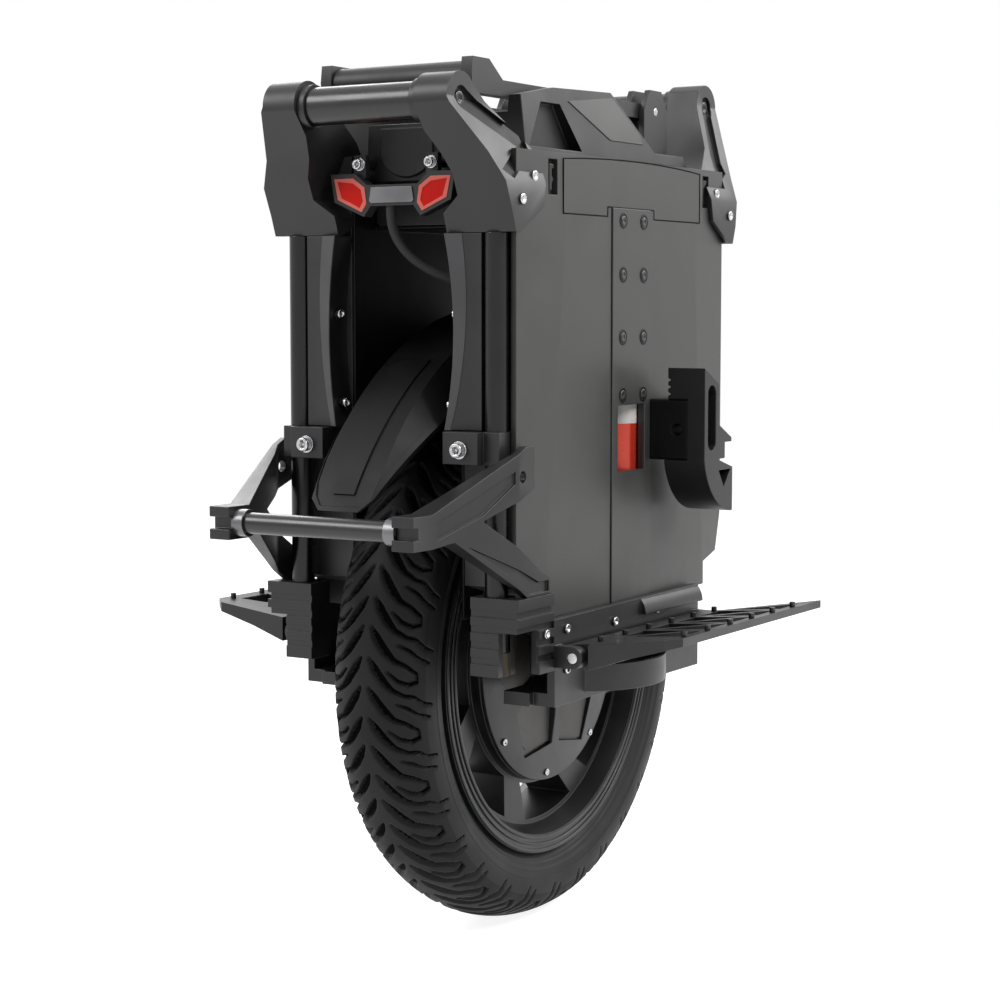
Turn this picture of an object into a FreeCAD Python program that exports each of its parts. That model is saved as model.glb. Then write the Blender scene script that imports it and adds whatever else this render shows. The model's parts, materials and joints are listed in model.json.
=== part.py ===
"""Electric unicycle with a sprung wheel carriage: a parametric assembly of its separate pieces.

Millimetres. +X is forward, +Y is left, +Z is up. The origin is on the ground under the axle.
Pieces are drawn on the right-hand side (-Y), and the left-hand ones are their mirror images.
"""

import FreeCAD
import Part
import Sketcher
import math
import os
from types import SimpleNamespace

Vector = FreeCAD.Vector
ROUND_END = 1.0001
BEND_SHARE = 0.45

SIZES = {
    # General
    "travel": 60.0,
    "seat_gap": 0.3,
    "running_gap": 0.05,
    # Tyre and rim
    "tyre_radius": 250.0,
    "tyre_half": 47.5,
    "tyre_wall": 9.0,
    "section_height": 72.0,
    "side_drop": 36.0,
    "shoulder_half": 40.0,
    "shoulder_drop": 14.0,
    "crest_half": 13.0,
    "shoulder_bend": 34.0,
    "tread_depth": 4.6,
    "tread_rib_half": 5.0,
    "tread_groove_half": 4.0,
    "tread_sweep": 50.0,
    "tread_cut": 30.0,
    "tread_pitches": 30,
    "sidewall_bend": 70.0,
    "bead_half": 37.0,
    "bead_rise": 1.0,
    "flange_height": 9.0,
    "flange_half": 42.0,
    "well_depth": 8.0,
    "well_half": 22.0,
    "barrel_depth": 16.0,
    "web_half": 24.0,
    "spoke_length": 42.0,
    "shell_wall": 8.0,
    "shell_half": 34.0,
    "window_margin": 4.0,
    "window_half_angle": 15.5,
    "window_skew": 7.0,
    "spokes": 8,
    # Hub motor
    "cover_edge": 4.0,
    "cover_rim_rise": 7.0,
    "cover_rise": 11.5,
    "cover_rim_band": 12.0,
    "cover_crown_band": 34.5,
    "cover_panel_depth": 2.5,
    "cover_panel_collar": 18.5,
    "cover_panel_rim": 15.0,
    "cover_panel_half_angle": 25.5,
    "cover_panels": 6,
    "bearing_radius": 23.5,
    "bearing_width": 12.0,
    "magnet_depth": 4.0,
    "magnet_half": 22.0,
    "air_gap": 0.8,
    "stator_half": 20.0,
    "slot_depth": 24.0,
    "slot_width": 9.0,
    "stator_slots": 18,
    # Axle and hangers
    "axle_radius": 12.0,
    "axle_shoulder": 17.0,
    "axle_half": 84.0,
    "block_inner": 52.0,
    "block_thick": 22.0,
    "block_half": 32.0,
    "block_crest": 0.7,
    "nut_radius": 17.0,
    "nut_thick": 9.0,
    "nut_room": 1.5,
    "beam_inner": 60.0,
    "beam_narrow": 84.0,
    "beam_wide": 110.0,
    "beam_end": 184.0,
    "beam_rear": 160.0,
    "beam_taper": 120.0,
    "plate_inner": 123.3,
    "plate_thick": 7.7,
    "plate_rear": -153.0,
    "plate_front": 121.0,
    "plate_rise": 2.0,
    "guard_rear": -100.0,
    "guard_front": 34.0,
    "guard_bend": 82.0,
    "guard_wall": 6.0,
    "kick_rear": 4.0,
    "kick_reach": 5.0,
    "kick_drop": 14.0,
    "kick_bend": 21.0,
    # Pedals
    "hinge_y": 148.0,
    "pin_radius": 5.0,
    "knuckle_radius": 9.5,
    "ear_width": 12.0,
    "ear_gap": 0.5,
    "pedal_inner": 135.5,
    "pedal_wide": 162.0,
    "pedal_outer": 246.0,
    "pedal_rear": -150.0,
    "pedal_front": 148.0,
    "pedal_nose": 40.0,
    "pedal_corner": 12.0,
    "pedal_edge": 7.0,
    "pedal_keel_y": 196.0,
    "pedal_rim": 12.0,
    "pedal_rib": 9.0,
    "pedal_cells": 5,
    "pedal_rear_margin": 26.0,
    "pedal_front_margin": 20.0,
    "stud_radius": 2.6,
    "stud_height": 5.0,
    "studs_per_edge": 6,
    # Sliders and bumper
    "stanchion_radius": 10.0,
    "rear_stanchion_x": -198.5,
    "rear_stanchion_y": 101.0,
    "front_stanchion_x": 198.5,
    "front_stanchion_y": 72.0,
    "slider_wall": 5.0,
    "slider_inner": 83.0,
    "slider_outer": 110.8,
    "slider_back": 212.0,
    "stanchion_inset": 1.0,
    "front_slider_inner": 58.6,
    "front_slider_outer": 85.0,
    "link_front": -196.5,
    "cheek_inner": 122.6,
    "cheek_outer": 131.0,
    "cheek_step": -178.0,
    "rib_depth": 3.0,
    "column_rib_depth": 1.2,
    "rib_width": 6.0,
    "ribs": 4,
    "bar_inset": 10.0,
    "bar_radius": 9.0,
    "bar_half": 82.0,
    "collar_radius": 11.5,
    "collar_width": 11.0,
    "bumper_back_wall": 14.0,
    "bumper_clamp": 14.0,
    "bumper_outer": 103.0,
    "bumper_flare_x": -222.0,
    "bumper_flare_inner": 113.5,
    "bumper_flat_x": -207.0,
    "bumper_tip_x": -182.0,
    "bumper_tip_inner": 121.6,
    "bumper_tip_outer": 128.4,
    "bumper_tip_height": 36.0,
    "bumper_hole_radius": 5.0,
    "bumper_hole_x": -201.0,
    "strut_crotch_x": -246.0,
    "strut_root_x": -276.0,
    "strut_foot_rear": -194.0,
    "strut_foot_front": -156.0,
    "strut_foot_height": 14.0,
    "strut_neck_height": 20.0,
    "strut_neck_x": -170.0,
    "recess_depth": 2.4,
    "recess_border": 5.0,
    "notch_depth": 7.0,
    "notch_half": 5.0,
    # Shock absorbers
    "shock_y": 96.5,
    "shock_x": 20.0,
    "shock_can_radius": 18.0,
    "shock_neck_radius": 14.0,
    "shock_shaft_radius": 8.0,
    "shock_boot": 12.0,
    # Battery cases
    "case_inner": 58.3,
    "case_end": 182.0,
    "skin_inner": 112.0,
    "skin_edge": 117.3,
    "skin_crown": 121.0,
    "skin_end": 194.0,
    "crease_rear_top": -110.0,
    "crease_rear_bottom": -155.0,
    "crease_front_top": 122.0,
    "crease_front_bottom": 147.0,
    "corner_mid_x": 183.0,
    "corner_low_x": 152.0,
    "bay_wall": 4.0,
    "channel_half": 41.0,
    "channel_outer": 115.0,
    "rib_wall": 5.0,
    "window_half": 25.5,
    "pack_gap": 1.0,
    "pack_round": 3.0,
    "strip_half": 36.0,
    "strip_thick": 1.3,
    "side_cover_rear": -122.0,
    "side_cover_front": 137.0,
    "side_cover_bend": 1900.0,
    "side_cover_step": 8.0,
    "side_cover_depth": 4.0,
    "latch_half": 15.0,
    "latch_width": 14.0,
    "latch_gap": 9.0,
    "latch_floor": 1.5,
    # Wheel arch, controller and fender
    "arch_inner": 55.0,
    "arch_ceiling_thick": 3.0,
    "arch_notch_half": 44.0,
    "controller_half_length": 150.0,
    "controller_half_width": 54.0,
    "fender_gap": 13.0,
    "fender_flat": 30.0,
    "fender_flank": 26.0,
    "fender_lip": 6.0,
    "fender_lining": 1.5,
    "fender_thick": 3.0,
    "fender_tip_half": 20.0,
    "fender_chin_half": 31.0,
    "fender_mid_half": 52.0,
    "fender_rise": 1.6,
    "fender_border": 4.0,
    "fender_spine_low": 11.0,
    "fender_spine_high": 15.0,
    # Handles
    "tube_x": 240.0,
    "tube_radius": 16.0,
    "loop_radius": 22.0,
    "handle_collar_radius": 18.5,
    "handle_collar_width": 7.0,
    "arm_top_inner": 60.0,
    "arm_top_outer": 93.0,
    "loop_start": 42.0,
    "loop_middle": 120.0,
    "loop_end": 192.0,
    "arm_front_x": 151.0,
    "arm_plate_x": 161.0,
    "arm_brow_x": 155.0,
    "arm_toe_x": 197.0,
    "arm_sole_x": 205.0,
    "arm_heel_x": 211.0,
    "arm_elbow_x": 231.0,
    "arm_outer": 124.0,
    "groove_radius": 10.5,
    "groove_depth": 4.0,
    "groove_start": 52.0,
    "groove_middle": 142.0,
    "groove_end": 232.0,
    "groove_crook_x": 182.0,
    "groove_tail_x": 220.0,
    "groove_tail_width": 14.0,
    "groove_corner_x": 164.0,
    "front_tube_x": 205.0,
    "front_elbow_x": 216.0,
    "front_neck_x": 176.0,
    "front_crook_x": 202.0,
    "front_tail_x": 206.0,
    "front_corner_x": 184.0,
    "arm_waist_inner": 74.0,
    "arm_foot_inner": 56.0,
    "arm_plate_inner": 119.8,
    # Pillars and stanchion clamps
    "pillar_back": 205.0,
    "pillar_outer": 90.2,
    "pillar_inner": 56.0,
    "pillar_bow": 8.0,
    "pillar_lip": 5.0,
    "pillar_lip_width": 22.0,
    "clamp_back": 212.0,
    "lug_back": 222.0,
    "lug_outer": 96.5,
    "clamp_inner": 62.0,
    "clamp_outer": 111.6,
    "bush_radius": 11.5,
    "bush_length": 20.0,
    # Tail lamp, rear box and headlight
    "lamp_x": -205.0,
    "lamp_depth": 12.0,
    "lamp_half": 64.0,
    "lamp_corner_y": 60.0,
    "lamp_bottom_y": 29.0,
    "lamp_inner_y": 22.0,
    "lamp_shoulder_y": 38.0,
    "lens_border": 4.0,
    "lens_depth": 3.0,
    "lamp_tab_y": 37.0,
    "lamp_tab_half": 6.0,
    "lamp_post_radius": 4.0,
    "box_back": -180.0,
    "box_half": 42.0,
    "box_boss_half": 27.0,
    "box_boss_depth": 3.0,
    "box_boss_drop": 30.0,
    "box_boss_bend": 31.0,
    "cable_radius": 4.2,
    "headlight_front": 204.0,
    "headlight_half": 48.0,
    "headlight_lens": 4.0,
    "headlight_frame": 6.0,
    # Top cover and trolley handle
    "deck_half": 81.0,
    "hump_inner": 84.0,
    "hump_outer": 93.0,
    "hump_base": 100.0,
    "cover_rear": -149.5,
    "cover_ridge_rear": -92.0,
    "cover_ridge_front": 12.0,
    "cover_step_rear": 88.0,
    "cover_step_front": 146.0,
    "cover_front": 154.5,
    "grip_recess_depth": 13.0,
    "grip_recess_rear": -142.0,
    "grip_recess_lean": 26.0,
    "grip_recess_front": -52.0,
    "grip_recess_slope": 32.0,
    "trolley_hinge_x": 118.0,
    "trolley_eye": 11.0,
    "trolley_pin": 4.0,
    "trolley_inner": 66.5,
    "trolley_outer": 77.5,
    "trolley_bend_x": -150.0,
    "trolley_grip_x": -185.0,
    "trolley_grip_radius": 13.0,
    "trolley_boss_radius": 15.0,
    "bracket_wall": 6.0,
    "bracket_rear": 94.0,
    "bracket_front": 141.0,
    "bracket_lean": 12.0,
    "button_radius": 9.0,
    "button_x": -40.0,
    "button_depth": 7.0,
    "button_rise": 2.5,
    "button_height": 7.0,
    # Side pads
    "pad_rear": 37.0,
    "pad_column_front": 67.0,
    "pad_front": 96.0,
    "pad_top_slope": 15.0,
    "pad_outer": 178.0,
    "pad_block_front": 88.0,
    "pad_block_outer": 160.0,
    "pad_shelf_inner": 140.0,
    "pad_hook_inner": 136.0,
    "pad_hook_bend": 62.0,
    "pad_hook_drop": 8.0,
    "pad_lip": 4.0,
    "pad_round": 3.0,
    "pad_tab_neck": 88.0,
    "pad_tab_front": 102.0,
    "pad_slot_half": 8.0,
    "pad_eye_x": 78.0,
    "pad_hole_y": 149.0,
    "pad_hole_radius": 5.5,
    "pad_teeth": 3,
    "pad_tooth": 3.2,
}

# Heights above the axle
HEIGHTS = {
    # Axle and hangers
    "block_bottom": -32.0,
    "beam_bottom": -20.0,
    "beam_top": -8.0,
    "plate_top": 56.0,
    "guard_bottom": -14.0,
    "guard_top": 10.0,
    # Pedals
    "hinge_z": 24.0,
    "pedal_inner_top": 33.0,
    "pedal_outer_top": 47.0,
    "pedal_keel_z": 26.0,
    "pedal_root_z": 12.5,
    # Sliders and bumper
    "slider_bottom": 12.0,
    "slider_top": 79.0,
    "link_bottom": 50.0,
    "bar_z": 142.0,
    "bumper_tip_top": 206.0,
    "bumper_hole_z": 181.0,
    "strut_crotch_z": 147.0,
    "strut_root_z": 132.0,
    # Shock absorbers
    "shock_can_bottom": 102.0,
    "shock_can_top": 310.0,
    "shock_shaft_top": 155.0,
    # Battery cases
    "case_bottom": 54.0,
    "case_top": 453.0,
    "corner_high": 121.0,
    "corner_mid": 84.0,
    "corner_low": 76.0,
    "bay_bottom": 95.0,
    "bay_top": 440.0,
    "channel_top": 360.0,
    "window_bottom": 174.0,
    "window_top": 234.0,
    "strip_top": 410.0,
    "side_cover_bottom": 402.0,
    "side_cover_top": 448.0,
    "latch_middle": 432.0,
    # Wheel arch, controller and fender
    "arch_ceiling": 390.0,
    "arch_notch_top": 98.0,
    "controller_bottom": 393.0,
    "fender_tip_z": 153.0,
    "fender_chin_z": 163.0,
    "fender_mid_z": 230.0,
    "fender_wide_z": 302.0,
    "fender_spine_bottom": 167.0,
    "fender_spine_top": 276.0,
    # Handles
    "tube_z": 491.0,
    "arm_front_z": 450.0,
    "arm_plate_high": 433.0,
    "arm_plate_low": 405.0,
    "arm_foot_z": 384.0,
    "arm_heel_z": 401.0,
    "arm_elbow_z": 448.0,
    "arm_flare_z": 425.0,
    "groove_crook_z": 455.0,
    "groove_tail_z": 434.0,
    "groove_corner_z": 458.0,
    "front_tube_z": 517.0,
    "front_neck_z": 476.0,
    "front_crook_z": 462.0,
    "front_tail_z": 452.0,
    "arm_waist_z": 432.0,
    "arm_waist_foot": 414.0,
    "arm_foot_top": 400.0,
    "arm_neck_z": 466.0,
    # Pillars and stanchion clamps
    "pillar_bottom": 218.3,
    "clamp_bottom": 191.0,
    "clamp_top": 218.0,
    # Tail lamp, rear box and headlight
    "lamp_top": 436.0,
    "lamp_corner_z": 412.0,
    "lamp_bottom": 399.0,
    "lamp_inner_z": 408.0,
    "lamp_bar_top": 426.0,
    "lamp_tab_top": 452.0,
    "lamp_post_z": 444.0,
    "box_bottom": 430.0,
    "box_top": 479.0,
    "headlight_bottom": 402.0,
    "headlight_top": 447.0,
    # Top cover and trolley handle
    "deck_z": 488.0,
    "hump_top": 516.0,
    "cover_rear_top": 502.0,
    "cover_step_z": 466.0,
    "grip_recess_bottom": 459.0,
    "grip_recess_top": 498.0,
    "trolley_hinge_z": 507.0,
    "trolley_bottom": 500.0,
    "trolley_top": 514.0,
    "trolley_grip_z": 515.0,
    "bracket_top": 527.0,
    # Side pads
    "pad_bottom": 133.0,
    "pad_top": 267.0,
    "pad_block_top": 238.0,
    "pad_block_bottom": 182.0,
    "pad_tab_top": 218.0,
    "pad_tab_low": 197.0,
    "pad_slot_top": 251.0,
    "pad_slot_bottom": 191.0,
    "pad_eye_bottom": 156.0,
}


class Size:
    """A number together with the sheet expression that it comes from."""

    def __init__(self, value, text):
        self.value = float(value)
        self.text = text

    @staticmethod
    def of(other):
        """Returns a size as it is, and a plain number as a size."""
        return other if isinstance(other, Size) else Size(other, f"({float(other)!r})")

    def join(self, other, sign, value):
        """Returns the size that an arithmetic sign makes of two others."""
        return Size(value, f"({self.text} {sign} {other.text})")

    def __add__(self, other):
        other = Size.of(other)
        return self.join(other, "+", self.value + other.value)

    def __sub__(self, other):
        other = Size.of(other)
        return self.join(other, "-", self.value - other.value)

    def __mul__(self, other):
        other = Size.of(other)
        return self.join(other, "*", self.value * other.value)

    def __truediv__(self, other):
        other = Size.of(other)
        return self.join(other, "/", self.value / other.value)

    def __radd__(self, other):
        return Size.of(other) + self

    def __rsub__(self, other):
        return Size.of(other) - self

    def __rmul__(self, other):
        return Size.of(other) * self

    def __neg__(self):
        return Size(-self.value, f"(-{self.text})")


class Circle:
    """A round outline of a sketch."""

    def __init__(self, u, v, radius):
        self.u = Size.of(u)
        self.v = Size.of(v)
        self.radius = Size.of(radius)


document = FreeCAD.newDocument("electric_unicycle")
sheet = document.addObject("Spreadsheet::Sheet", "Sizes")
for row, (alias, number) in enumerate({**SIZES, **HEIGHTS}.items(), start=1):
    sheet.set(f"A{row}", alias)
    sheet.set(f"B{row}", str(number))
    sheet.setAlias(f"B{row}", alias)
document.recompute()
d = SimpleNamespace(**{alias: Size(number, f"Sizes.{alias}") for alias, number in SIZES.items()})
for alias, number in HEIGHTS.items():
    setattr(d, alias, d.tyre_radius + Size(number, f"Sizes.{alias}"))

# Radii that follow from the tyre's, from the tread inwards to the hub
d.side_radius = d.tyre_radius - d.side_drop
d.bead_radius = d.tyre_radius - d.section_height
d.flange_radius = d.bead_radius + d.flange_height
d.well_radius = d.bead_radius - d.well_depth
d.barrel_radius = d.bead_radius - d.barrel_depth
d.shell_radius = d.barrel_radius - d.spoke_length
d.window_inner = d.shell_radius + d.window_margin
d.window_outer = d.barrel_radius - d.window_margin
d.cover_crown_radius = d.bearing_radius + d.cover_crown_band
d.cover_panel_inner = d.bearing_radius + d.cover_panel_collar
d.cover_panel_tip = d.shell_radius - d.cover_panel_rim
d.cover_panel_shoulder = d.cover_panel_tip - (d.cover_panel_tip - d.cover_panel_inner) / 3

# The fender clears the tyre at full travel, and the bumper's bar stands behind the fender
d.fender_radius = d.tyre_radius + d.travel + d.fender_gap
d.bar_x = -(d.fender_radius - d.bar_inset)
d.bumper_back = d.bar_x - d.bumper_back_wall
pieces = []


def keep(source, label):
    """Gives a finished sub-part its label and lists it for export."""
    source.Label = label
    pieces.append(source)
    return source


def origin(body, role):
    """Returns one of a body's own origin planes or axes."""
    return next(feature for feature in body.Origin.OriginFeatures if feature.Role == role)


def new_body(name, height=None):
    """Starts a body, raised to a height where its sketches are drawn about the axle."""
    body = document.addObject("PartDesign::Body", name)
    if height is not None:
        body.setExpression("Placement.Base.z", height.text)
    return body


def arc_between(start, end, radius):
    """Returns the arc of less than a half turn between two points, anticlockwise for a positive radius."""
    chord = end - start
    rise = math.sqrt(max(radius * radius - chord.Length**2 / 4, 0.0))
    side = Vector(-chord.y, chord.x, 0).normalize() * math.copysign(rise, radius)
    centre = (start + end) * 0.5 + side
    first, last = (start, end) if radius > 0 else (end, start)
    angles = [math.atan2(point.y - centre.y, point.x - centre.x) for point in (first, last)]
    return Part.ArcOfCircle(Part.Circle(centre, Vector(0, 0, 1), abs(radius)), *angles)


def place_point(sketch, geometry, end, u, v):
    """Fixes a point of a sketch at its two coordinates."""
    for kind, axis, size in (("DistanceX", -2, u), ("DistanceY", -1, v)):
        if size.value == 0:
            sketch.addConstraint(Sketcher.Constraint("PointOnObject", geometry, end, axis))
            continue
        index = sketch.addConstraint(Sketcher.Constraint(kind, -1, 1, geometry, end, size.value))
        sketch.setExpression(f"Constraints[{index}]", size.text)


def set_radius(sketch, geometry, radius):
    """Fixes the radius of an arc or a circle."""
    index = sketch.addConstraint(Sketcher.Constraint("Radius", geometry, abs(radius.value)))
    sketch.setExpression(f"Constraints[{index}]", radius.text if radius.value > 0 else (-radius).text)


def add_loop(sketch, points):
    """Draws a closed outline. A point's third value is the radius of the arc from it to the next."""
    corners = [(Size.of(p[0]), Size.of(p[1]), Size.of(p[2]) if len(p) > 2 else None) for p in points]
    first = sketch.GeometryCount
    ends = []
    for corner, following in zip(corners, corners[1:] + corners[:1]):
        start = Vector(corner[0].value, corner[1].value, 0)
        end = Vector(following[0].value, following[1].value, 0)
        bend = corner[2]
        if bend is None:
            sketch.addGeometry(Part.LineSegment(start, end), False)
        else:
            sketch.addGeometry(arc_between(start, end, bend.value), False)
        ends.append((2, 1) if bend is not None and bend.value < 0 else (1, 2))
    count = len(corners)
    for step in range(count):
        following = (step + 1) % count
        joint = ("Coincident", first + step, ends[step][1], first + following, ends[following][0])
        sketch.addConstraint(Sketcher.Constraint(*joint))
    for step, (u, v, bend) in enumerate(corners):
        place_point(sketch, first + step, ends[step][0], u, v)
        if bend is not None:
            set_radius(sketch, first + step, bend)


def draw(body, role, outlines, offset=None):
    """Returns a sketch of closed outlines on a plane parallel to one of the body's origin planes."""
    sketch = body.newObject("Sketcher::SketchObject", "Outline")
    sketch.AttachmentSupport = [(origin(body, role), "")]
    sketch.MapMode = "FlatFace"
    if offset is not None:
        sketch.setExpression("AttachmentOffset.Base.z", Size.of(offset).text)
    for outline in outlines:
        if isinstance(outline, Circle):
            centre = Vector(outline.u.value, outline.v.value, 0)
            index = sketch.addGeometry(Part.Circle(centre, Vector(0, 0, 1), outline.radius.value), False)
            place_point(sketch, index, 3, outline.u, outline.v)
            set_radius(sketch, index, outline.radius)
        else:
            add_loop(sketch, outline)
    return sketch


def pad(body, role, outlines, start, depth):
    """Adds a prism to a body. On the XZ plane it grows towards -Y, on YZ towards +X, on XY towards +Z."""
    feature = body.newObject("PartDesign::Pad", "Pad")
    feature.Profile = draw(body, role, outlines, start)
    feature.setExpression("Length", Size.of(depth).text)
    return feature


def pocket(body, role, outlines, start, depth):
    """Cuts a prism out of a body, in the same direction as a pad."""
    document.recompute()
    before = body.Shape.Volume
    feature = body.newObject("PartDesign::Pocket", "Pocket")
    feature.Profile = draw(body, role, outlines, start)
    feature.setExpression("Length", Size.of(depth).text)
    feature.Reversed = True
    document.recompute()
    if body.Shape.Volume >= before:
        raise RuntimeError(f"A cut in {body.Name} removed nothing")
    return feature


def repeat(body, feature, role, count):
    """Repeats a feature evenly round one of the body's axes."""
    pattern = body.newObject("PartDesign::PolarPattern", "Ring")
    pattern.Originals = [feature]
    pattern.Axis = (origin(body, role), [""])
    pattern.Angle = 360
    pattern.setExpression("Occurrences", count.text)
    body.Tip = pattern
    return pattern


def turn(body, outlines, role="YZ_Plane", axis="H_Axis"):
    """Turns an outline right round an axis of its sketch."""
    feature = body.newObject("PartDesign::Revolution", "Turned")
    sketch = draw(body, role, outlines)
    feature.Profile = sketch
    feature.ReferenceAxis = (sketch, [axis])
    feature.Angle = 360
    return feature


def prism(name, role, outlines, start, depth):
    """Returns a body that is one prism."""
    body = new_body(name)
    pad(body, role, outlines, start, depth)
    return body


def rectangle(u_low, v_low, u_high, v_high):
    """Returns the outline of an upright rectangle."""
    return [(u_low, v_low), (u_high, v_low), (u_high, v_high), (u_low, v_high)]


def polar(radius, degrees):
    """Returns the coordinates of a point at a radius and an angle."""
    angle = math.radians(degrees)
    return radius * math.cos(angle), radius * math.sin(angle)


def boolean(kind, name, base, tool):
    """Returns the common part, cut or union of two shapes."""
    feature = document.addObject(f"Part::{kind}", name)
    feature.Base = base
    feature.Tool = tool
    feature.Refine = True
    return feature


def group(label, shapes):
    """Keeps several separate solids as one sub-part."""
    compound = document.addObject("Part::Compound", label)
    compound.Links = shapes
    return keep(compound, label)


def mirror(source, name, normal=Vector(0, 1, 0)):
    """Returns the mirror image of a piece in a plane through the origin."""
    twin = document.addObject("Part::Mirroring", name)
    twin.Source = source
    twin.Normal = normal
    return twin


def keep_pair(source, stem):
    """Keeps a right-hand piece and its left-hand mirror image."""
    keep(source, f"{stem}_right")
    return keep(mirror(source, f"{stem}_left"), f"{stem}_left")


def keep_both(source, label):
    """Keeps a right-hand piece and its left-hand mirror image as one sub-part."""
    return group(label, [source, mirror(source, f"{label}_left")])


def round_edges(body, radius, wanted):
    """Rounds the edges of a body that a test on their two ends picks."""
    document.recompute()
    base = body.Tip
    names = []
    for number, edge in enumerate(base.Shape.Edges, start=1):
        ends = [vertex.Point for vertex in edge.Vertexes]
        if len(ends) == 2 and wanted(*ends):
            names.append(f"Edge{number}")
    if not names:
        raise RuntimeError(f"No edge to round in {body.Name}")
    feature = body.newObject("PartDesign::Fillet", "Rounded")
    feature.Base = (base, names)
    feature.setExpression("Radius", radius.text)
    body.Tip = feature
    return feature


def along(axis):
    """Returns a test that picks straight edges parallel to an axis."""
    return lambda a, b: abs(abs((b - a).normalize()[axis]) - 1) < 1e-6


def crown_line(depth):
    """Returns the flats of the tyre's crown from its right shoulder to its left one, at a depth."""
    right = [
        (-d.shoulder_half, d.tyre_radius - d.shoulder_drop - depth),
        (-d.crest_half, d.tyre_radius - depth),
    ]
    return right + [(-u, v) for u, v in reversed(right)]


def make_tyre():
    """Tyre: a hollow squarish casing open at the beads, under a tread layer cut by chevron grooves."""
    casing = new_body("tyre_casing", d.tyre_radius)
    top = d.tyre_radius - d.shoulder_drop
    side = d.tyre_half - d.tyre_wall
    bead = d.bead_half - d.tyre_wall
    clear = d.flange_radius + d.bead_rise
    outside = [
        (-d.bead_half, d.bead_radius),
        (-d.bead_half, clear, -d.sidewall_bend),
        (-d.tyre_half, d.side_radius, -d.shoulder_bend),
        (-d.shoulder_half, top),
        *crown_line(d.tread_depth),
        (d.shoulder_half, top, -d.shoulder_bend),
        (d.tyre_half, d.side_radius, -d.sidewall_bend),
        (d.bead_half, clear),
        (d.bead_half, d.bead_radius),
    ]
    lining = [
        (bead, d.bead_radius),
        (bead, clear),
        (side, d.side_radius),
        (d.shoulder_half - d.tyre_wall, top - d.tyre_wall),
        (d.crest_half, d.tyre_radius - d.tread_depth - d.tyre_wall),
    ]
    turn(casing, [outside + lining + [(-u, v) for u, v in reversed(lining)]])

    tread = new_body("tyre_tread", d.tyre_radius)
    turn(tread, [crown_line(Size.of(0)) + crown_line(d.tread_depth)[::-1]])
    wide = d.tread_groove_half
    end = d.shoulder_half + d.pack_gap
    grooves = []
    for turned in (-1, 1):
        near = turned * d.tread_rib_half
        far = turned * end
        tail = -d.tread_sweep
        grooves.append([(near, wide), (near, -wide), (far, tail - wide), (far, tail + wide)])
    cut = pocket(tread, "YZ_Plane", grooves, -d.tyre_radius - d.seat_gap, d.tread_cut)
    repeat(tread, cut, "Y_Axis", d.tread_pitches)
    keep(boolean("Fuse", "tyre", casing, tread), "tyre")


def make_rim():
    """Rim: one casting of barrel, flanges, slanted spokes and the hub motor's shell."""
    body = new_body("rim", d.tyre_radius)
    seat = d.bead_radius - d.seat_gap
    lip = d.bead_half + d.seat_gap
    inside = d.shell_radius - d.shell_wall
    half = [
        (d.well_half, d.well_radius),
        (lip, seat),
        (lip, d.flange_radius),
        (d.flange_half, d.flange_radius),
        (d.flange_half, d.barrel_radius + d.shell_wall),
        (d.web_half, d.barrel_radius),
        (d.web_half, d.shell_radius),
        (d.shell_half, d.shell_radius),
        (d.shell_half, inside),
    ]
    turn(body, [half + [(-u, v) for u, v in reversed(half)]])
    low = d.window_half_angle.value
    skew = d.window_skew.value
    opening = [
        (*polar(d.window_inner, -low),),
        (*polar(d.window_outer, skew - low), d.window_outer),
        (*polar(d.window_outer, skew + low),),
        (*polar(d.window_inner, low), -d.window_inner),
    ]
    cut = pocket(body, "XZ_Plane", [opening], -d.web_half, 2 * d.web_half)
    repeat(body, cut, "Y_Axis", d.spokes)
    keep(body, "rim")


def make_hub_motor():
    """Hub covers with raised ridges between panels, bearings, magnets and the slotted stator."""
    cover = new_body("hub_cover", d.tyre_radius)
    base = -d.shell_half
    rim = base - d.cover_rim_rise
    crown = base - d.cover_rise
    edge = d.shell_radius - d.seat_gap
    turn(
        cover,
        [
            [
                (base, d.bearing_radius),
                (base, edge),
                (base - d.cover_edge, edge),
                (rim, edge - d.cover_rim_band),
                (crown, d.cover_crown_radius),
                (crown, d.bearing_radius),
            ]
        ],
    )
    low = d.cover_panel_half_angle.value
    panel = [
        (*polar(d.cover_panel_inner, -low),),
        (*polar(d.cover_panel_shoulder, -low),),
        (*polar(d.cover_panel_tip, 0),),
        (*polar(d.cover_panel_shoulder, low),),
        (*polar(d.cover_panel_inner, low), -d.cover_panel_inner),
    ]
    floor = d.shell_half + d.cover_rim_rise - d.cover_panel_depth
    cut = pocket(cover, "XZ_Plane", [panel], floor, d.cover_rise)
    repeat(cover, cut, "Y_Axis", d.cover_panels)
    keep_both(cover, "hub_covers")

    bearing = new_body("bearing", d.tyre_radius)
    race = Circle(0, 0, d.bearing_radius)
    hole = Circle(0, 0, d.axle_radius + d.running_gap)
    pad(bearing, "XZ_Plane", [race, hole], d.shell_half + d.cover_rise - d.bearing_width, d.bearing_width)
    keep_both(bearing, "wheel_bearings")

    magnets = new_body("rotor_magnets", d.tyre_radius)
    outside = d.shell_radius - d.shell_wall
    inside = outside - d.magnet_depth
    pad(magnets, "XZ_Plane", [Circle(0, 0, outside), Circle(0, 0, inside)], -d.magnet_half, 2 * d.magnet_half)
    keep(magnets, "rotor_magnets")

    stator = new_body("stator", d.tyre_radius)
    tip = inside - d.air_gap
    length = 2 * d.stator_half
    pad(stator, "XZ_Plane", [Circle(0, 0, tip), Circle(0, 0, d.axle_radius)], -d.stator_half, length)
    half = d.slot_width / 2
    slot = rectangle(tip - d.slot_depth, -half, tip + half, half)
    cut = pocket(stator, "XZ_Plane", [slot], -d.stator_half, length)
    repeat(stator, cut, "Y_Axis", d.stator_slots)
    keep(stator, "stator")


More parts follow.
